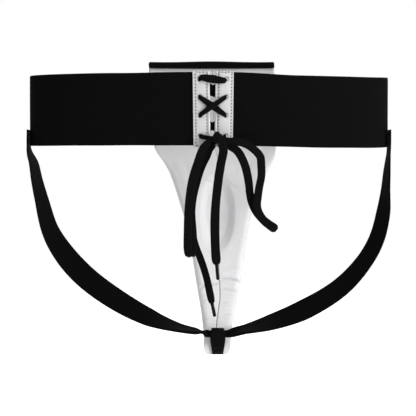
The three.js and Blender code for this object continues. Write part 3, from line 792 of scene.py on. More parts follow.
# The lace's width in the middle of a stretch, beside a hole and in it: the bar, then the strand seen
# through the slit below it, which also sags
STRANDS = {1: (0.0076, 0.005, 0.0036), 3: (0.0092, 0.0062, 0.0042), 4: (0.0112, 0.0066, 0.0042),
           5: (0.006, 0.0048, 0.0036)}
SAG = {4: -0.0028}
TILT = {3: 0.0008}  # how much further the bar rises towards its ends


def hole(side, row):
    z = HOLE_HEIGHTS[row]
    return np.array((SLIT_X + side * (HOLE_REACH + PANEL_LEAN * z), BACK_Y, z))


def moved(point, **to):
    """The point with some of its coordinates replaced."""
    return np.array([to.get(axis, value) for axis, value in zip("xyz", point)])


def laced_route():
    """The lace's points, and at each its width's direction, its width and its thickness."""
    turns = [hole(side, row) for side, row in zip((-1, 1) * 2 + (-1, 1) * 2, (3, 2, 1, 0, 0, 1, 2, 3))]
    turns[3] = turns[3] - (0, 0, TILT[3])
    turns[4] = turns[4] + (0, 0, TILT[3])
    levels = [(INSIDE, INSIDE), (OUTSIDE, OUTSIDE), (INSIDE, INSIDE), (OUTSIDE, OUTSIDE),
              (INSIDE, INSIDE_TOP), (OUTSIDE, OUTSIDE_TOP), (INSIDE, INSIDE_TOP)]
    up = np.array((0.0, 0, 1))
    route = [moved(turns[0] + (0.0012, 0, 0), y=OUTSIDE)]
    hints = [(*up, 0.0042, 0.0018)]
    for i, (level, crossing) in enumerate(levels):
        start, end = turns[i], turns[i + 1]
        along = unit(end - start)
        wide = np.array((-along[2], 0, along[0]))
        wide = -wide if wide[2] < 0 else wide
        turning = unit(wide + hints[-1][:3])
        breadth, corner, through = STRANDS.get(i, (0.0064, 0.0054, 0.0042))
        middle = moved((start + end) / 2, y=crossing) + (0, 0, SAG.get(i, 0))
        tilt = np.array((0, 0, TILT.get(i, 0)))
        route += [start, moved(start + along * CORNER, y=level) - tilt, middle,
                  moved(end - along * CORNER, y=level) + tilt]
        hints += [(*turning, through, 0.0023), (*wide, corner, 0.0017), (*wide, breadth, 0.0013),
                  (*wide, corner, 0.0017)]
    last = turns[-1]
    route += [last, moved(last + (-0.0012, 0, 0), y=OUTSIDE)]
    hints += [(*up, 0.0042, 0.0023), (*up, 0.0042, 0.0018)]
    return route, hints


def laced_stretch():
    route, hints = laced_route()
    line, hints = smooth_route(route, 0.0006, hints)
    lace = lace_ribbon("lace_through_holes", line, hints[:, :3], hints[:, 3], hints[:, 4], 2.6, 0.0005, 12)
    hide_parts("lace_through_panels")
    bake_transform(lace)


def stub(name, route, breadth, seed):
    """The lace from one of the lowest holes into the knot."""
    line = smooth_route(route, 0.0005)
    up = np.tile((0.0, 0, 1), (len(line), 1))
    width = rounded_ends(lengths(line), breadth, 0.0016)
    return lace_ribbon(name, line, up, width, 0.0016, 2.2, 0.0004, seed)


def knot_stubs():
    """The lace between the knot and the lowest hole on each side."""
    first, last = moved(hole(-1, 3), y=OUTSIDE), moved(hole(1, 3), y=OUTSIDE)
    from_knot = stub("lace_from_knot", [
        first + (-0.0002, 0.0016, 0), first + (0.0016, -0.0001, -0.0003), first + (0.006, -0.0009, -0.0014),
        moved(first, x=KNOT.x - KNOT_RADII.x * 0.7, y=OUTSIDE - 0.0025, z=first[2] - 0.0026)], 0.0048, 13)
    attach(from_knot, "root")
    into_knot = stub("lace_into_knot", [
        last + (0.0002, 0.0016, -0.0014), last + (-0.002, -0.0004, -0.0022),
        last + (-0.0045, -0.0022, -0.0026), np.array(KNOT) + (0.001, 0.0008, 0)], 0.0034, 14)
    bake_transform(into_knot)


laced_stretch()
knot_stubs()

# The pad's surfaces, as in the CAD: a leather lining over a hollow, and a cover that bulges in front

pad_half = profile([
    (57, 69.2), (-38, 67.2), (-68, 53.4), (-97, 42.4), (-135, 33.4), (-194, 24), (-225, 18.6), (-252, 15),
])
pad_middle = profile([(57, 2.6), (-38, 7), (-56, 10.2), (-97, 8.9), (-135, 10.2), (-200, 10.5), (-270, 9)])
inner_face = profile([(57, 15), (0, 17), (-60, 18), (-120, 22), (-200, 23), (-245, 20.5), (-270, 19)])
pad_thickness = profile([
    (57, 6.5), (20, 9.5), (-38, 12.5), (-120, 13), (-200, 11), (-250, 8), (-270, 5.5),
])
PAD_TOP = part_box("belly_cover")[1].z - 0.0017
PAD_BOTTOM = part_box("cup_cover")[0].z
TIP_START, TIP_RADIUS = -0.252, 0.018

# Ovals on the pad: x and z of their middle, half their width and height, and their depth
HOLLOW = (0.0075, -0.115, 0.028, 0.05, 0.0035)
BULGE = (0.0075, -0.115, 0.038, 0.064, 0.026)
STEP = (0.0092, -0.1115, 0.0205, 0.047, 0.0048)
EDGE_CURL = 0.004
EDGE_ROLL = (0.0078, 0.005)  # how far its left and right edges roll back, below the waistband
ROLL_WIDTH = 0.008
CALM_EDGE = 0.006  # wrinkles die away this far from the edges
FOLD_DEPTH = FOLD_WIDTH = 0.0022  # of the line that the front cover folds on


def half_width(z):
    drop = np.clip((TIP_START - z) / TIP_RADIUS, 0, 0.985)
    return pad_half(np.maximum(z, TIP_START)) * (1 - drop ** 4) ** 0.25


def from_edge(s, z):
    """How far inside the pad's side edge a point is, at s across the pad, from -1 to 1."""
    return (1 - np.abs(s)) * half_width(z)


def oval_reach(oval, x, z):
    """How far out a point is: 0 at an oval's middle, 1 on its edge."""
    return np.hypot((x - oval[0]) / oval[2], (z - oval[1]) / oval[3])


def dome(oval, x, z):
    return oval[4] * (1 - np.minimum(oval_reach(oval, x, z), 1) ** 2) ** 2


def hollow(x, z):
    """How far the lining sinks into the cup: a shallow bowl, with a step down to it all round."""
    return dome(HOLLOW, x, z) + STEP[4] * (1 - smoothstep(oval_reach(STEP, x, z), 0.6, 1))


def flat_inner(s, z):
    """The lining's depth with no hollow, at s across the pad, from -1 to 1."""
    curl = EDGE_CURL * np.minimum(half_width(z) / 0.04, 1) ** 2 * s * s
    roll = np.where(s < 0, *EDGE_ROLL) * between(-z, (0.042, 0.075), (0.235, 0.262))
    return inner_face(z) - curl + roll * rounded(from_edge(s, z), ROLL_WIDTH)


WORN_EDGE = 0.0016
CREASE_GAIN = 1.6

# Creases in the lining: x and z at both ends, sag, depth and width, in millimetres
CREASES = metres([
    (12.5, -185.5, 37.5, -189.5, 1.2, 0.9, 1.8), (14, -197.5, 33, -200, 0.8, 0.4, 1.4),
    (-12.5, -192.5, 11.8, -190, -1, 0.7, 1.6), (-10.5, -196.5, -3, -193, 0.6, 0.6, 1),
    (-9.5, -212, -1.5, -208, 0.8, 0.4, 1.1), (-9, -216.5, -3.5, -215, 0.4, 0.2, 0.9),
    (12.5, -176.5, 35, -173.5, 1.5, 0.2, 2.2), (13, -214, 20, -211, -0.5, 0.2, 1.3),
    (-8, -233, 3, -230, 0.6, 0.2, 1.6), (15, -228, 26, -224.5, 0.5, 0.2, 1.8),
    (-42, -56, -25, -105, 3, 0.3, 3.4), (-27, -52, -22, -76, 1.5, 0.2, 3.5),
    (-6, -74, 15, -77, -2, 0.3, 1.7), (18, -72, 33, -84, -2, 0.3, 2.2), (48, -52, 40, -82, -2, 0.3, 3.5),
    (16, -70, 26, -70, 1, 0.2, 2.2),
])


def crease_field(x, z):
    """How deep the lining's creases are at each point."""
    total = np.zeros_like(x)
    for x0, z0, x1, z1, sag, depth, width in CREASES:
        along = np.array((x1 - x0, z1 - z0))
        length = np.hypot(*along)
        along = along / length
        t = ((x - x0) * along[0] + (z - z0) * along[1]) / length
        bow = sag * 4 * t * (1 - t) + 0.0003 * value_noise(t * 7, 0 * t, int(1000 * abs(x0)))
        off = (x - x0) * -along[1] + (z - z0) * along[0] - bow
        fade = CREASE_GAIN * depth * between(t, (-0.12, 0.15), (0.8, 1.1))
        total += fade * (bell(off, width) - 0.35 * bell(np.abs(off) - 2.1 * width, width))
    return total


def fine_wrinkles(x, z):
    """Slanting wrinkles beside the hollow, and cross ones on the narrow part."""
    slant = (z + 0.55 * x + 0.0024 * rough(x, z, 0.011, 31)) / 0.0036
    beside = bell(x - 0.030, 0.008) * bell(z + 0.148, 0.026)
    cross = (z + 0.12 * x + 0.0014 * rough(x, z, 0.014, 33)) / 0.0044
    narrow = between(-z, (0.165, 0.19), (0.225, 0.245))
    folds = 0.00024 * beside * np.sin(2 * math.pi * slant) * (0.4 + rough(x, z, 0.009, 37))
    return folds + 0.0002 * narrow * np.sin(2 * math.pi * cross) * (0.5 + rough(x, z, 0.01, 35))


def soft_wrinkles(x, z):
    return 0.0007 * rough(x, z, 0.036, 41) + 0.00016 * rough(x, z * 1.3, 0.009, 43)


SEAM_WIDTH, SEAM_DEPTH = 0.0006, 0.0011
SEAM_GAP = 0.00006  # from the seam's line to each half's edge
seam_wander = profile([(57, 0), (-165, 0), (-187, 0.8), (-205, 1.7), (-238, -1.6), (-270, 0)])


def seam_strength(z):
    """The middle seam is pulled deep on the narrow part, and lies nearly flat above the hollow."""
    return 0.12 + 0.88 * smoothstep(-z, 0.15, 0.19)


def tip_rise(z):
    """How far the lining stands out towards the webbing loop at the tip."""
    return 0.0036 * smoothstep(-z, 0.236, 0.25)


def lining_point(s, z):
    """A point of the lining's visible face. Its two halves meet on the seam, at s = 0."""
    seam_x = pad_middle(z) + seam_wander(z)
    x = pad_middle(z) + half_width(z) * s + seam_wander(z) * (1 - np.abs(s)) ** 2
    calm = smoothstep(from_edge(s, z), 0, CALM_EDGE)
    seam = SEAM_DEPTH * bell(x - seam_x, SEAM_WIDTH) * seam_strength(z)
    y = flat_inner(s, z) + hollow(x, z) + seam
    y = y + calm * (crease_field(x, z) + fine_wrinkles(x, z) + soft_wrinkles(x, z))
    rounding = 0.0007 * rounded(from_edge(s, z), 0.0012)
    return np.stack([x, y - tip_rise(z) + rounding, z + 0 * x], axis=-1)


ROWS, COLUMNS = 320, 64  # of points on each half of the lining


def pad_rows():
    """Heights down the pad, evenly spaced."""
    return PAD_TOP + (PAD_BOTTOM + 0.0008 - PAD_TOP) * np.linspace(0, 1, ROWS)


def lining_half(name, side, nodes):
    z, u = np.meshgrid(pad_rows(), np.linspace(0, 1, COLUMNS), indexing="ij")
    s = side * (u + (1 - u) * SEAM_GAP / half_width(z))
    outer = lining_point(s, z)
    normal = grid_normals(outer)
    normal = normal * np.sign(normal[..., 1:2])
    inner = outer + normal * LEATHER
    uv = outer[..., [0, 2]]
    half = shell(name, outer, inner, uv, LEATHER_LOOK)
    x = outer[..., 0]
    seam_x = pad_middle(z) + seam_wander(z)
    # painted shade in the lining's creases and along its middle seam
    painted_shade = np.clip(crease_field(x, z) / 0.0009, 0, 1) * 0.3
    painted_shade = painted_shade + 0.8 * bell(x - seam_x, 0.0005) * seam_strength(z)
    paint_sheet(half, painted_shade, bell(from_edge(s, z), WORN_EDGE))
    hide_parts(*nodes)
    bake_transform(half)


def cover_point(s, z, inset=0.0):
    """A point of the front cover, this far inside its outer face."""
    x = pad_middle(z) + (half_width(z) - inset) * s
    outer = pad_middle(z) + half_width(z) * s
    calm = smoothstep(from_edge(s, z), 0, CALM_EDGE)
    swell = np.sqrt(np.clip(1 - s ** 4, 0, 1))
    fold = FOLD_DEPTH * bell(z - HINGE.z, FOLD_WIDTH) * swell
    wrinkles = 0.0008 * rough(outer, z, 0.034, 51) + 0.0002 * rough(outer, z * 1.2, 0.009, 53)
    depth = pad_thickness(z) + dome(BULGE, outer, z) - inset
    base = flat_inner(s, z) + (2 * LEATHER - tip_rise(z)) * (1 - swell)
    return np.stack([x, base + swell * depth - fold + calm * wrinkles, z + 0 * x], axis=-1)


def cover():
    z, u = np.meshgrid(pad_rows(), np.linspace(-1, 1, 2 * COLUMNS - 1), indexing="ij")
    s = np.sin(u * math.pi / 2)
    outer = cover_point(s, z)
    inner = cover_point(s, z, LEATHER)
    inner[..., 1] = np.minimum(inner[..., 1], outer[..., 1] - 0.0005)
    made = shell("pad_front_cover", outer, inner, outer[..., [0, 2]], LEATHER_LOOK)
    # painted shade along the line the cover folds on
    paint_sheet(made, 0.8 * bell(z - HINGE.z, 0.0012), bell(from_edge(s, z), WORN_EDGE))
    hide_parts("belly_cover", "cup_cover")
    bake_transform(made)


lining_half("pad_lining_left", -1, ["belly_lining", "cup_lining_left"])
lining_half("pad_lining_right", 1, ["cup_lining_right"])
cover()


def fold_stitches():
    """Two rows of stitches across the front, above the pad's fold."""
    parts = []
    for i, z in enumerate((HINGE.z + 0.0042, HINGE.z + 0.0068)):
        s = np.linspace(-0.93, 0.93, 400)
        line = cover_point(s, np.full_like(s, z))
        line[:, 1] += 0.0001
        parts.append(capsules(f"row_{i}", *along_line(line, PAD_PITCH), PAD_STITCH, 0.00024, WHITE_THREAD,
                              "leather"))
    rows = join("fold_stitches", parts)
    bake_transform(rows)


fold_stitches()

# The binding over the pad's top edge

BINDING = 0.0012
BINDING_CORNER = 0.0018
binding_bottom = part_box("belly_top_binding")[0].z - 0.0011


def binding_grid(face, s, v):
    """A point of the folded tape: v runs up the inside, over the top and down the front."""
    turn = np.clip((v - 0.4) / 0.2, 0, 1) * math.pi
    leg = np.where(v < 0.4, v / 0.4, np.minimum((1 - v) / 0.4, 1))
    z = binding_bottom + (PAD_TOP + GAP - binding_bottom) * leg
    corner = BINDING_CORNER * rounded(1 - np.abs(s), 0.034)
    x = pad_middle(z) + half_width(z) * s
    swell = np.sqrt(np.clip(1 - np.abs(s) ** 4, 0, 1))
    depth = swell * pad_thickness(binding_bottom) + 2 * GAP
    pucker = 0.00022 * np.sin(x / 0.003 * 2 * math.pi) * bell(leg - 0.15, 0.2)
    belly = 0.0004 * bell(leg - 0.6, 0.3) + pucker + 0.0002 * rough(x, z + v * 0.01, 0.012, 61)
    radius = depth / 2 + (BINDING + belly) * face
    dip = 0.0012 * bell(s, 0.5)
    y = inner_face(z) - EDGE_CURL * s * s - GAP + depth / 2 - np.cos(turn) * radius
    z = z + np.sin(turn) * (0.0009 + BINDING * face) + dip * leg
    return np.stack([x, y, z - corner * (2 * leg - 1)], axis=-1)


def binding():
    u, v = np.meshgrid(np.linspace(-1, 1, 260), np.linspace(0, 1, 72), indexing="ij")
    s = np.clip(np.sin(u * math.pi / 2) * 1.002, -1, 1)
    outer, inner = binding_grid(1, s, v), binding_grid(0.0, s, v)
    uv = np.stack([v * 0.026, outer[..., 0]], axis=-1)
    tape = shell("top_binding", outer, inner, uv, BINDING_LOOK)
    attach(tape, "root")
    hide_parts("belly_top_binding")
    line = binding_grid(1.1, np.linspace(-0.97, 0.97, 300), np.full(300, 0.05))
    places, directions = along_line(line, PAD_PITCH)
    row = capsules("binding_stitches", places, directions, PAD_STITCH, THREAD, BLACK_THREAD, "binding")
    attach(row, "root")


binding()

# The waistband: two lengths of knitted elastic, from the lacing panels round to the pad's edges

BAND_PLAN = metres([
    (60, -46), (110, -40.5), (150, -31), (178, -18.5), (191.5, -6.5), (195, 2), (191, 10), (176, 16),
    (145, 19), (110, 17.5),
])
BAND_STEPS = 66  # points up one face of the elastic


def band_rings(side):
    tuck = SLIT_X * side + BAND_TUCK
    seam_x = float(pad_middle(0.0)) * side + float(half_width(0.0))
    plan = [(tuck, BACK_Y)] + BAND_PLAN + [(seam_x + 0.002, 0.0132), (seam_x - 0.0035, 0.0135)]
    line = smooth_route([(x, y, 0.0) for x, y in plan], 0.0013)
    at = lengths(line)
    share = at / at[-1]
    up = np.linspace(-1, 1, BAND_STEPS)
    height = np.concatenate([up, up[::-1]])
    face = np.concatenate([np.ones(BAND_STEPS), -np.ones(BAND_STEPS)])
    edge = 1 - 0.75 * smoothstep(np.abs(height), 0.985, 1.0)
    tangent = unit(np.gradient(line, axis=0))
    normal = np.cross(tangent, (0.0, 0, 1))
    z = height[None, :] * BAND_HEIGHT / 2 * (1 + 0.004 * value_noise(at * 30, 0 * at, 71)[:, None])
    raised, drooped = (0.5, 0) if side < 0 else (1, 0.0023)
    z = z + 0.0013 * smoothstep(height, -0.2, 1)[None, :] * (1 - raised * smoothstep(share, 0, 0.22))[:, None]
    droop = drooped * between(share, (-0.05, 0.34), (0.45, 0.75))
    z = z + (0.0015 * smoothstep(share, 0.48, 0.8) - droop)[:, None]
    along = at[:, None] + 0 * z
    lean = PANEL_LEAN * z * (1 - smoothstep(share, 0, 0.1))[:, None]
    sewn = (pad_middle(z) * side + half_width(z) - seam_x) * smoothstep(share, 0.9, 1)[:, None]
    ripple = 0.0009 * rough(along, z * 0.5, 0.07, 73 + side) * smoothstep(share, 0.02, 0.2)[:, None]
    pucker = 0.0003 * np.sin(z / 0.0072 * math.pi) * bell(along - 0.006, 0.006)
    pucker = pucker + 0.0003 * np.sin(z / 0.0085 * math.pi) * bell(at[-1] - along - 0.004, 0.006)
    selvedge = 0.00018 * bell(np.abs(z) - BAND_HEIGHT / 2 + 0.0032, 0.0006)
    ribs = 0.00005 * np.cos(z / 0.0019 * 2 * math.pi)
    out = (face * edge)[None, :] * (BAND_THICKNESS / 2 - selvedge + ribs) + ripple + pucker
    x = line[:, None, 0] + normal[:, None, 0] * out + lean + sewn
    y = line[:, None, 1] + normal[:, None, 1] * out
    return np.stack([side * x, y, z + 0 * x], axis=-1), np.stack([z, along], axis=-1)


def waistband(side, name, node):
    rings, uv = band_rings(side)
    band = tube(name, rings, uv, KNIT_LOOK)
    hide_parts(node)
    if side > 0:
        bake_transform(band)
    else:
        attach(band, "root")


waistband(-1, "elastic_left", "waistband_left")
waistband(1, "elastic_right", "waistband_right")

# Lacing panels: two punched plies of leather, stitched through, with a rolled edge at the slit

STITCH_PITCH = 0.0034
STITCH_COLUMNS = {-1: (0.0062, 0.018), 1: (0.0062, 0.0196)}  # reach of each panel's columns of stitches
TOP_ROW, BOTTOM_ROW = 0.0012, 0.0015  # from the panel's edges
FACE_STEP, BACKING_STEP = 0.0003, 0.0006  # between the points of each ply
NEEDLE_HOLE = 0.00082
PROUD = 0.00008  # how far a stitch stands out of the leather
PUFF_DEPTH, GROOVE_DEPTH, PIT_DEPTH = 0.0005, 0.00013, 0.00046  # between, along and at the stitches
GROOVE_WIDTH = WORN_RIM = 0.0009


def panel_stitch_places(side):
    """Where the needle went through, up both columns and along the top and the bottom."""
    columns = STITCH_COLUMNS[side]
    top, bottom = PANEL_HEIGHT / 2 - TOP_ROW, -PANEL_HEIGHT / 2 + BOTTOM_ROW
    heights = np.arange(bottom, top + 0.0001, STITCH_PITCH)
    rows = [[(reach, z) for z in heights] for reach in columns]
    reaches = np.arange(columns[0], columns[1] + 0.001, STITCH_PITCH)
    rows.append([(reach, top - 0.0003 * math.sin(3000 * reach)) for reach in reaches])
    rows.append([(reach, bottom) for reach in reaches])
    return rows


def panel_x(side, reach, z):
    return SLIT_X + side * (reach + PANEL_LEAN * z)


def ply_lines(low, high, step):
    """Grid lines from low to high, closer together at both ends."""
    inner = np.linspace(low + 0.0006, high - 0.0006, int((high - low) / step))
    return np.concatenate([[low, low + 0.0001, low + 0.0003], inner, [high - 0.0003, high - 0.0001, high]])


def punched_ply(name, side, front, node, outside, step):
    """One ply: its face puffs up between the stitches, and dips round each stitch and hole."""
    top, far = PANEL_HEIGHT / 2, PANEL_REACH[side]
    near_column, far_column = STITCH_COLUMNS[side]
    reach, z = np.meshgrid(ply_lines(PLY_START, far, step), ply_lines(-top, top, step), indexing="ij")
    rows, columns = reach.shape
    reach, z = reach.ravel(), z.ravel()
    faces = np.array(quads(rows, columns))
    away = np.full(len(reach), 1.0)
    for height in HOLE_HEIGHTS:
        off = np.stack([reach - HOLE_REACH, z - height], axis=1)
        distance = np.hypot(*off.T)
        near = np.abs(distance - HOLE_RADIUS) < step * 0.75
        scale = HOLE_RADIUS / np.maximum(distance, 1e-9)
        moved_off = off * scale[:, None]
        reach = np.where(near, HOLE_REACH + moved_off[:, 0], reach)
        z = np.where(near, height + moved_off[:, 1], z)
        away = np.minimum(away, np.where(near, 0, distance - HOLE_RADIUS))
    corners = away[faces]
    on_rim = (corners > -step).all(axis=1) & (corners.mean(axis=1) > 0)
    faces = faces[(corners > -1e-9).all(axis=1) | on_rim]
    border = np.minimum(np.minimum(reach - PLY_START, far - reach), np.minimum(z + top, top - z))
    near_edge = np.minimum(border, np.maximum(away, 0))
    across = np.clip((reach - near_column) / (far_column - near_column), 0, 1)
    puff = PUFF_DEPTH * np.sin(across * math.pi) ** 0.5
    puff = puff * smoothstep(top - np.abs(z), 0.001, 0.006) * smoothstep(away, 0, 0.0022)
    waves = 0.00028 * rough(reach * side + 1, z, 0.013, 81) + 0.00012 * rough(reach * side, z, 0.004, 83)
    pits = np.zeros(len(reach))
    for row in panel_stitch_places(side):
        for at_reach, at_z in row:
            pits = np.maximum(pits, np.exp(-((reach - at_reach) ** 2 + (z - at_z) ** 2) / NEEDLE_HOLE ** 2))
    groove = np.zeros(len(reach))
    for at_reach in STITCH_COLUMNS[side]:
        groove = groove + bell(reach - at_reach, GROOVE_WIDTH)
    rounding = 0.0006 * rounded(near_edge, 0.0006)
    relief = puff + waves - GROOVE_DEPTH * groove - PIT_DEPTH * pits
    facing_y = front - relief + rounding if outside else front + PLY + 0.5 * waves - rounding
    hidden_y = front + PLY - 0.0001 if outside else front + 0.0001
    x = panel_x(side, reach, z)
    seen = np.stack([x, facing_y, z], axis=1)
    back = np.stack([x, np.full(len(x), hidden_y), z], axis=1)
    used = np.unique(faces)
    index = np.full(len(x), -1)
    index[used] = np.arange(len(used))
    faces = index[faces]
    n = len(used)
    edges = np.concatenate([faces[:, [0, 1]], faces[:, [1, 2]], faces[:, [2, 3]], faces[:, [3, 0]]])
    key = np.sort(edges, axis=1)
    _, first, counts = np.unique(key, axis=0, return_index=True, return_counts=True)
    rim = edges[first[counts == 1]]
    all_faces = faces.tolist() + (faces[:, ::-1] + n).tolist()
    all_faces += [[b, a, a + n, b + n] for a, b in rim.tolist()]
    uv = np.stack([x, z], axis=1)[used]
    points = np.vstack([seen[used], back[used]])
    ply = piece(name, points, all_faces, np.vstack([uv, uv]), PANEL_LOOK)
    # painted shade in the needle holes and round the punched holes
    dark = np.clip(pits + 0.2 * bell(np.maximum(away, 0), 0.0005), 0, 1)[used] * (1.0 if outside else 0.6)
    paint_sheet(ply, dark, bell(near_edge, WORN_RIM)[used])
    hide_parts(node)
    return ply


def panel_stitches(name, side, front):
    places, directions = [], []
    for row in panel_stitch_places(side):
        points = np.array([(panel_x(side, r, z), front - PROUD, z) for r, z in row])
        places += list((points[1:] + points[:-1]) / 2)
        directions += list(points[1:] - points[:-1])
    return capsules(name, places, directions, STITCH_PITCH * 0.62, THREAD, WHITE_THREAD, "leather")


def piping(name, side, node):
    """Leather rolled over a cord, with small puckers between its stitches."""
    z = np.linspace(-PANEL_HEIGHT / 2, PANEL_HEIGHT / 2, 260)
    line = np.stack([panel_x(side, PIPING_REACH, z), np.full_like(z, BACK_Y), z], axis=1)
    line[:, 0] += 0.00012 * value_noise(z * 140, 0 * z, 90 + side)
    angle = np.linspace(0, 2 * math.pi, 26, endpoint=False)
    swell = 1.05 + 0.035 * np.sin(z / STITCH_PITCH * 2 * math.pi)[:, None] + 0.03 * value_noise(
        z[:, None] * 300, angle[None, :] * 0.8, 91)
    radius = rounded_ends(lengths(line), PIPING_RADIUS, 0.0012)[:, None] * swell
    x = line[:, None, 0] + np.cos(angle) * radius
    y = line[:, None, 1] + np.sin(angle) * radius * 1.5
    rings = np.stack([x, y, line[:, None, 2] + 0 * x], axis=-1)
    uv = np.stack([np.broadcast_to(np.abs(angle - math.pi) * 0.0015, x.shape), rings[..., 2]], axis=-1)
    roll = tube(name, rings, uv, PIPING_LOOK)
    # painted shade down both sides of the roll, where it tucks against the leather
    dark = 0.25 * bell(np.abs(np.cos(angle)) - 1, 0.2) + 0 * x
    paint(roll, "painted_shade", np.concatenate([dark.ravel(), [0, 0]]) * 0.3)
    paint(roll, "edge", np.concatenate([0 * dark.ravel(), [1, 1]]))
    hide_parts(node)
    return roll


for word, side, body in (("left", -1, "root"), ("right", 1, "right_panel")):
    node = f"lace_panel_{word}"
    made = [
        punched_ply(f"panel_{word}_face", side, OUTER_PLY_FRONT, f"{node}_outer", True, FACE_STEP),
        punched_ply(f"panel_{word}_backing", side, INNER_PLY_FRONT, f"{node}_inner", False, BACKING_STEP),
        panel_stitches(f"panel_{word}_stitches", side, OUTER_PLY_FRONT),
        panel_stitches(f"panel_{word}_back_stitches", side, INNER_PLY_FRONT + PLY + 2 * PROUD),
        piping(f"panel_{word}_piping", side, f"{node}_piping"),
    ]
    for each in made:
        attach(each, body)

# The webbing loop at the tip, and the leg strap through it

LOOP_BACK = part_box("tip_webbing_loop")[1].y
LOOP_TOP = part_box("tip_webbing_loop")[1].z
LOOP_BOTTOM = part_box("tip_webbing_loop")[0].z
WEBBING = 0.0013
LOOP_INSIDE = 0.003  # half the room for the gathered strap
LOOP_HALF = LOOP_INSIDE + WEBBING / 2


def tip_loop():
    """Webbing folded over the strap, its ends laid together and sewn to the tip."""
    x = float(pad_middle(LOOP_TOP))
    middle = LOOP_BACK - LOOP_INSIDE - WEBBING
    over = LOOP_TOP - 0.0043
    back, front = LOOP_BACK - WEBBING / 2, LOOP_BACK - 1.5 * WEBBING - 0.0002
    arc = [(middle + LOOP_HALF * math.cos(turn), over + LOOP_HALF * math.sin(turn))
           for turn in (0.5, 1.05, 1.57, 2.1, 2.64)]
    route = [(back, LOOP_BOTTOM), (back, LOOP_BOTTOM + 0.008), (back, over - 0.004), *arc,
             (middle - LOOP_HALF, over - 0.0015), (middle - LOOP_HALF + 0.0002, over - 0.0065),
             (middle - LOOP_HALF + 0.0024, LOOP_BOTTOM + 0.0135), (front, LOOP_BOTTOM + 0.0085),
             (front, LOOP_BOTTOM + 0.004), (front, LOOP_BOTTOM)]
    widths = [0.012, 0.0138, 0.0146, 0.0142, 0.0138, 0.0137, 0.0141, 0.015, 0.0164, 0.017, 0.016, 0.0146,
              0.0132, 0.0122]
    line, hints = smooth_route([(x, y, z) for y, z in route], 0.0004, widths)
    wide = np.tile((1.0, 0, 0), (len(line), 1))
    loop = ribbon("webbing_loop", WEBBING_LOOK, line, wide, hints[:, 0], WEBBING, 5,
                  lace_lift(0.0003, 95), 40)
    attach(loop, "cup_pad")
    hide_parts("tip_webbing_loop")
    y = front - WEBBING / 2 - 0.0001
    high, low = LOOP_BOTTOM + 0.0075, LOOP_BOTTOM + 0.0015
    box = [(-0.0048, high), (0.0048, high), (0.0045, low), (-0.0045, low), (-0.0048, high), (0.0045, low)]
    sew("webbing_stitches", [(x + out, y, z) for out, z in box], 0.0019, 0.0015, THREAD, "webbing", "cup_pad")


tip_loop()

# Stations down one side of the leg strap and up the other, in millimetres: x, y, z, its turn from
# edge-on in degrees, and its width
STRAP = np.array([
    (-197.2, 1, -20, 0, 25), (-197.2, 1, -40, 0, 25), (-196, 1, -46, 7, 25), (-192.2, 1, -56, 15, 25),
    (-188.7, 1, -75, 21, 25), (-183.4, 2, -97, 28, 25), (-174.5, 3, -129.7, 41, 25),
    (-160.7, 4, -154, 59, 25), (-137.1, 5, -180.7, 84, 25), (-103, 6, -206.3, 66, 25),
    (-65, 7, -227, 43, 25), (-30, 9, -239, 22, 17), (-8.5, 10.8, -243.2, 14, 11),
    (-1.8, 11.3, -245, 80, 7.6), (9.6, 11.3, -245.4, 88, 7.2), (22.2, 11.2, -245, 68, 8),
    (31, 10.3, -242.4, 36, 12.4), (39, 9.4, -240.3, 25, 17), (65.4, 9.6, -233.4, 34, 25),
    (105.2, 7.4, -218, 56, 25), (145, 5.4, -193, 48, 25), (171, 4, -164.2, 38, 25),
    (184, 3, -140, 34, 25), (191.2, 2, -111, 28, 25), (193.6, 1, -86, 14, 25), (195.6, 1, -60, 6, 25),
    (196.8, 1, -46, 0, 25), (197.2, 1, -40, 0, 25), (197.2, 1, -20, 0, 25),
]) / (1000, 1000, 1000, 1, 1000)
STRAP_THICKNESS = 0.0016
STRAP_WIDTH = 0.025
GATHERED_THICKNESS = 0.0036
NECK_X = -0.0078  # where the strap is pulled thin before it goes into the loop


def leg_strap():
    line, hints = smooth_route(STRAP[:, :3], 0.0016, STRAP[:, 3:])
    hints = np.stack([np.convolve(np.pad(h, 2, "edge"), np.ones(5) / 5, "valid") for h in hints.T], axis=1)
    turn, width = np.radians(hints[:, 0]), hints[:, 1]
    tangent = unit(np.gradient(line, axis=0))
    depth = np.array((0.0, 1, 0))
    thickness = np.minimum(STRAP_THICKNESS * STRAP_WIDTH / width, GATHERED_THICKNESS)
    neck = bell(line[:, 0] - NECK_X, 0.004)
    thickness = thickness * (1 - 0.4 * neck)
    turn = turn * (1 - neck)
    wide = np.cross(tangent, depth) * np.sin(turn)[:, None] + depth * np.cos(turn)[:, None]
    gathered = smoothstep(STRAP_WIDTH - width, 0.001, 0.014)[:, None]

    def folds(across, along):
        wavy = 0.0004 * gathered * np.sin(across * 2.6 * math.pi + 0.8)
        return wavy + 0.0004 * rough(across * 0.02, along + 0 * across, 0.05, 97)

    strap = ribbon("strap", STRAP_LOOK, line, wide, width, thickness, 7, folds, 60)
    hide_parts("leg_strap")
    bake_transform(strap)


def strap_bartacks():
    """The box of stitches that holds each end of the strap to the waistband."""
    for word, side in (("left", -1), ("right", 1)):
        x = side * (STRAP[-1, 0] + STRAP_THICKNESS / 2 + 0.0001)
        near, far, top, bottom = -0.0085, 0.0105, -0.022, -0.0355
        box = [(near, top), (far, top), (far, bottom), (near, bottom), (near, top), (far, bottom)]
        sew(f"strap_stitches_{word}", [(x, y, z) for y, z in box], 0.0026, 0.0019, 0.00026, "elastic", "root")


leg_strap()
strap_bartacks()

# CAD nodes that stay: they are inside the pad and the panels

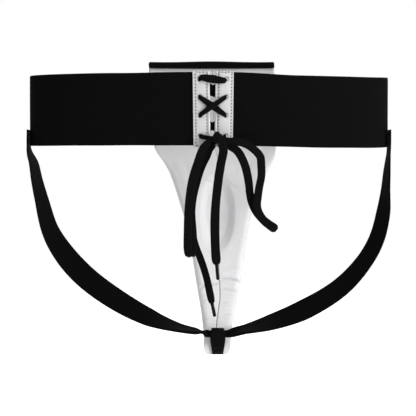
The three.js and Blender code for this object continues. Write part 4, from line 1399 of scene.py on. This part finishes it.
FOAM, FIBRE, STEEL = foam_material(), fibre_material(), steel_material()
KEPT = {
    "belly_foam": FOAM, "cup_foam_core": FOAM, "cup_foam_rim": FOAM, "cup_steel_shell": STEEL,
    "lace_panel_left_stiffener": FIBRE, "lace_panel_right_stiffener": FIBRE,
}
for node, look in KEPT.items():
    kept = frame["nodes"][node]
    kept.data.materials.clear()
    kept.data.materials.append(look)

# Studio: a white floor under a white surround, and soft lights

FLOOR_Z = -0.40
SURROUND = 0.4  # how brightly the surround lights the object
FLOOR_GLOW = (0.12, 0.65)  # as light on the object, and as the camera sees it

# Lights: name, place, the point each shines at, its size across and its power in watts
LIGHTS = [
    ("key", (1.5, -1.2, -0.08), (0, 0, -0.12), 0.8, 16), ("top", (0.75, -0.75, 1.2), (0, 0, -0.02), 1.0, 14),
    ("back", (0.3, 1.5, 1.1), (0, 0, -0.05), 1.4, 14),
]


def area_light(name, place, aim, size, power):
    data = bpy.data.lights.new(name, "AREA")
    data.shape = "DISK"
    data.size = size
    data.energy = power
    light = bpy.data.objects.new(name, data)
    light.location = place
    light.rotation_euler = (Vector(aim) - Vector(place)).to_track_quat("-Z", "Y").to_euler()
    bpy.context.scene.collection.objects.link(light)


def seen_or_lit(tree, lit, seen):
    """A strength of one value where the camera looks at the stage itself, and of another as light."""
    ray = tree.nodes.new("ShaderNodeLightPath").outputs["Is Camera Ray"]
    level = tree.nodes.new("ShaderNodeMapRange")
    level.inputs["To Min"].default_value = lit
    level.inputs["To Max"].default_value = seen
    tree.links.new(ray, level.inputs["Value"])
    return level.outputs["Result"]


def studio():
    scene = bpy.context.scene
    scene.view_settings.view_transform = "Standard"
    world = bpy.data.worlds.new("studio")
    scene.world = world
    world.use_nodes = True
    tree = world.node_tree
    background = tree.nodes["Background"].inputs
    background["Color"].default_value = (1, 1, 1, 1)
    tree.links.new(seen_or_lit(tree, SURROUND, 1.0), background["Strength"])

    bpy.ops.mesh.primitive_circle_add(vertices=96, radius=9, fill_type="NGON", location=(0, 0, FLOOR_Z))
    floor = bpy.context.object
    floor.name = "floor"
    look = Shader("white_floor")
    tone = look.mix(look.noise(look.place(), 3.0), grey(0.86), grey(0.9))
    glow = seen_or_lit(look.tree, *FLOOR_GLOW)
    look.finish(Base_Color=tone, Roughness=0.9, Emission_Color=(1, 1, 1, 1), Emission_Strength=glow)
    floor.data.materials.append(look.material)

    for light in LIGHTS:
        area_light(*light)


studio()
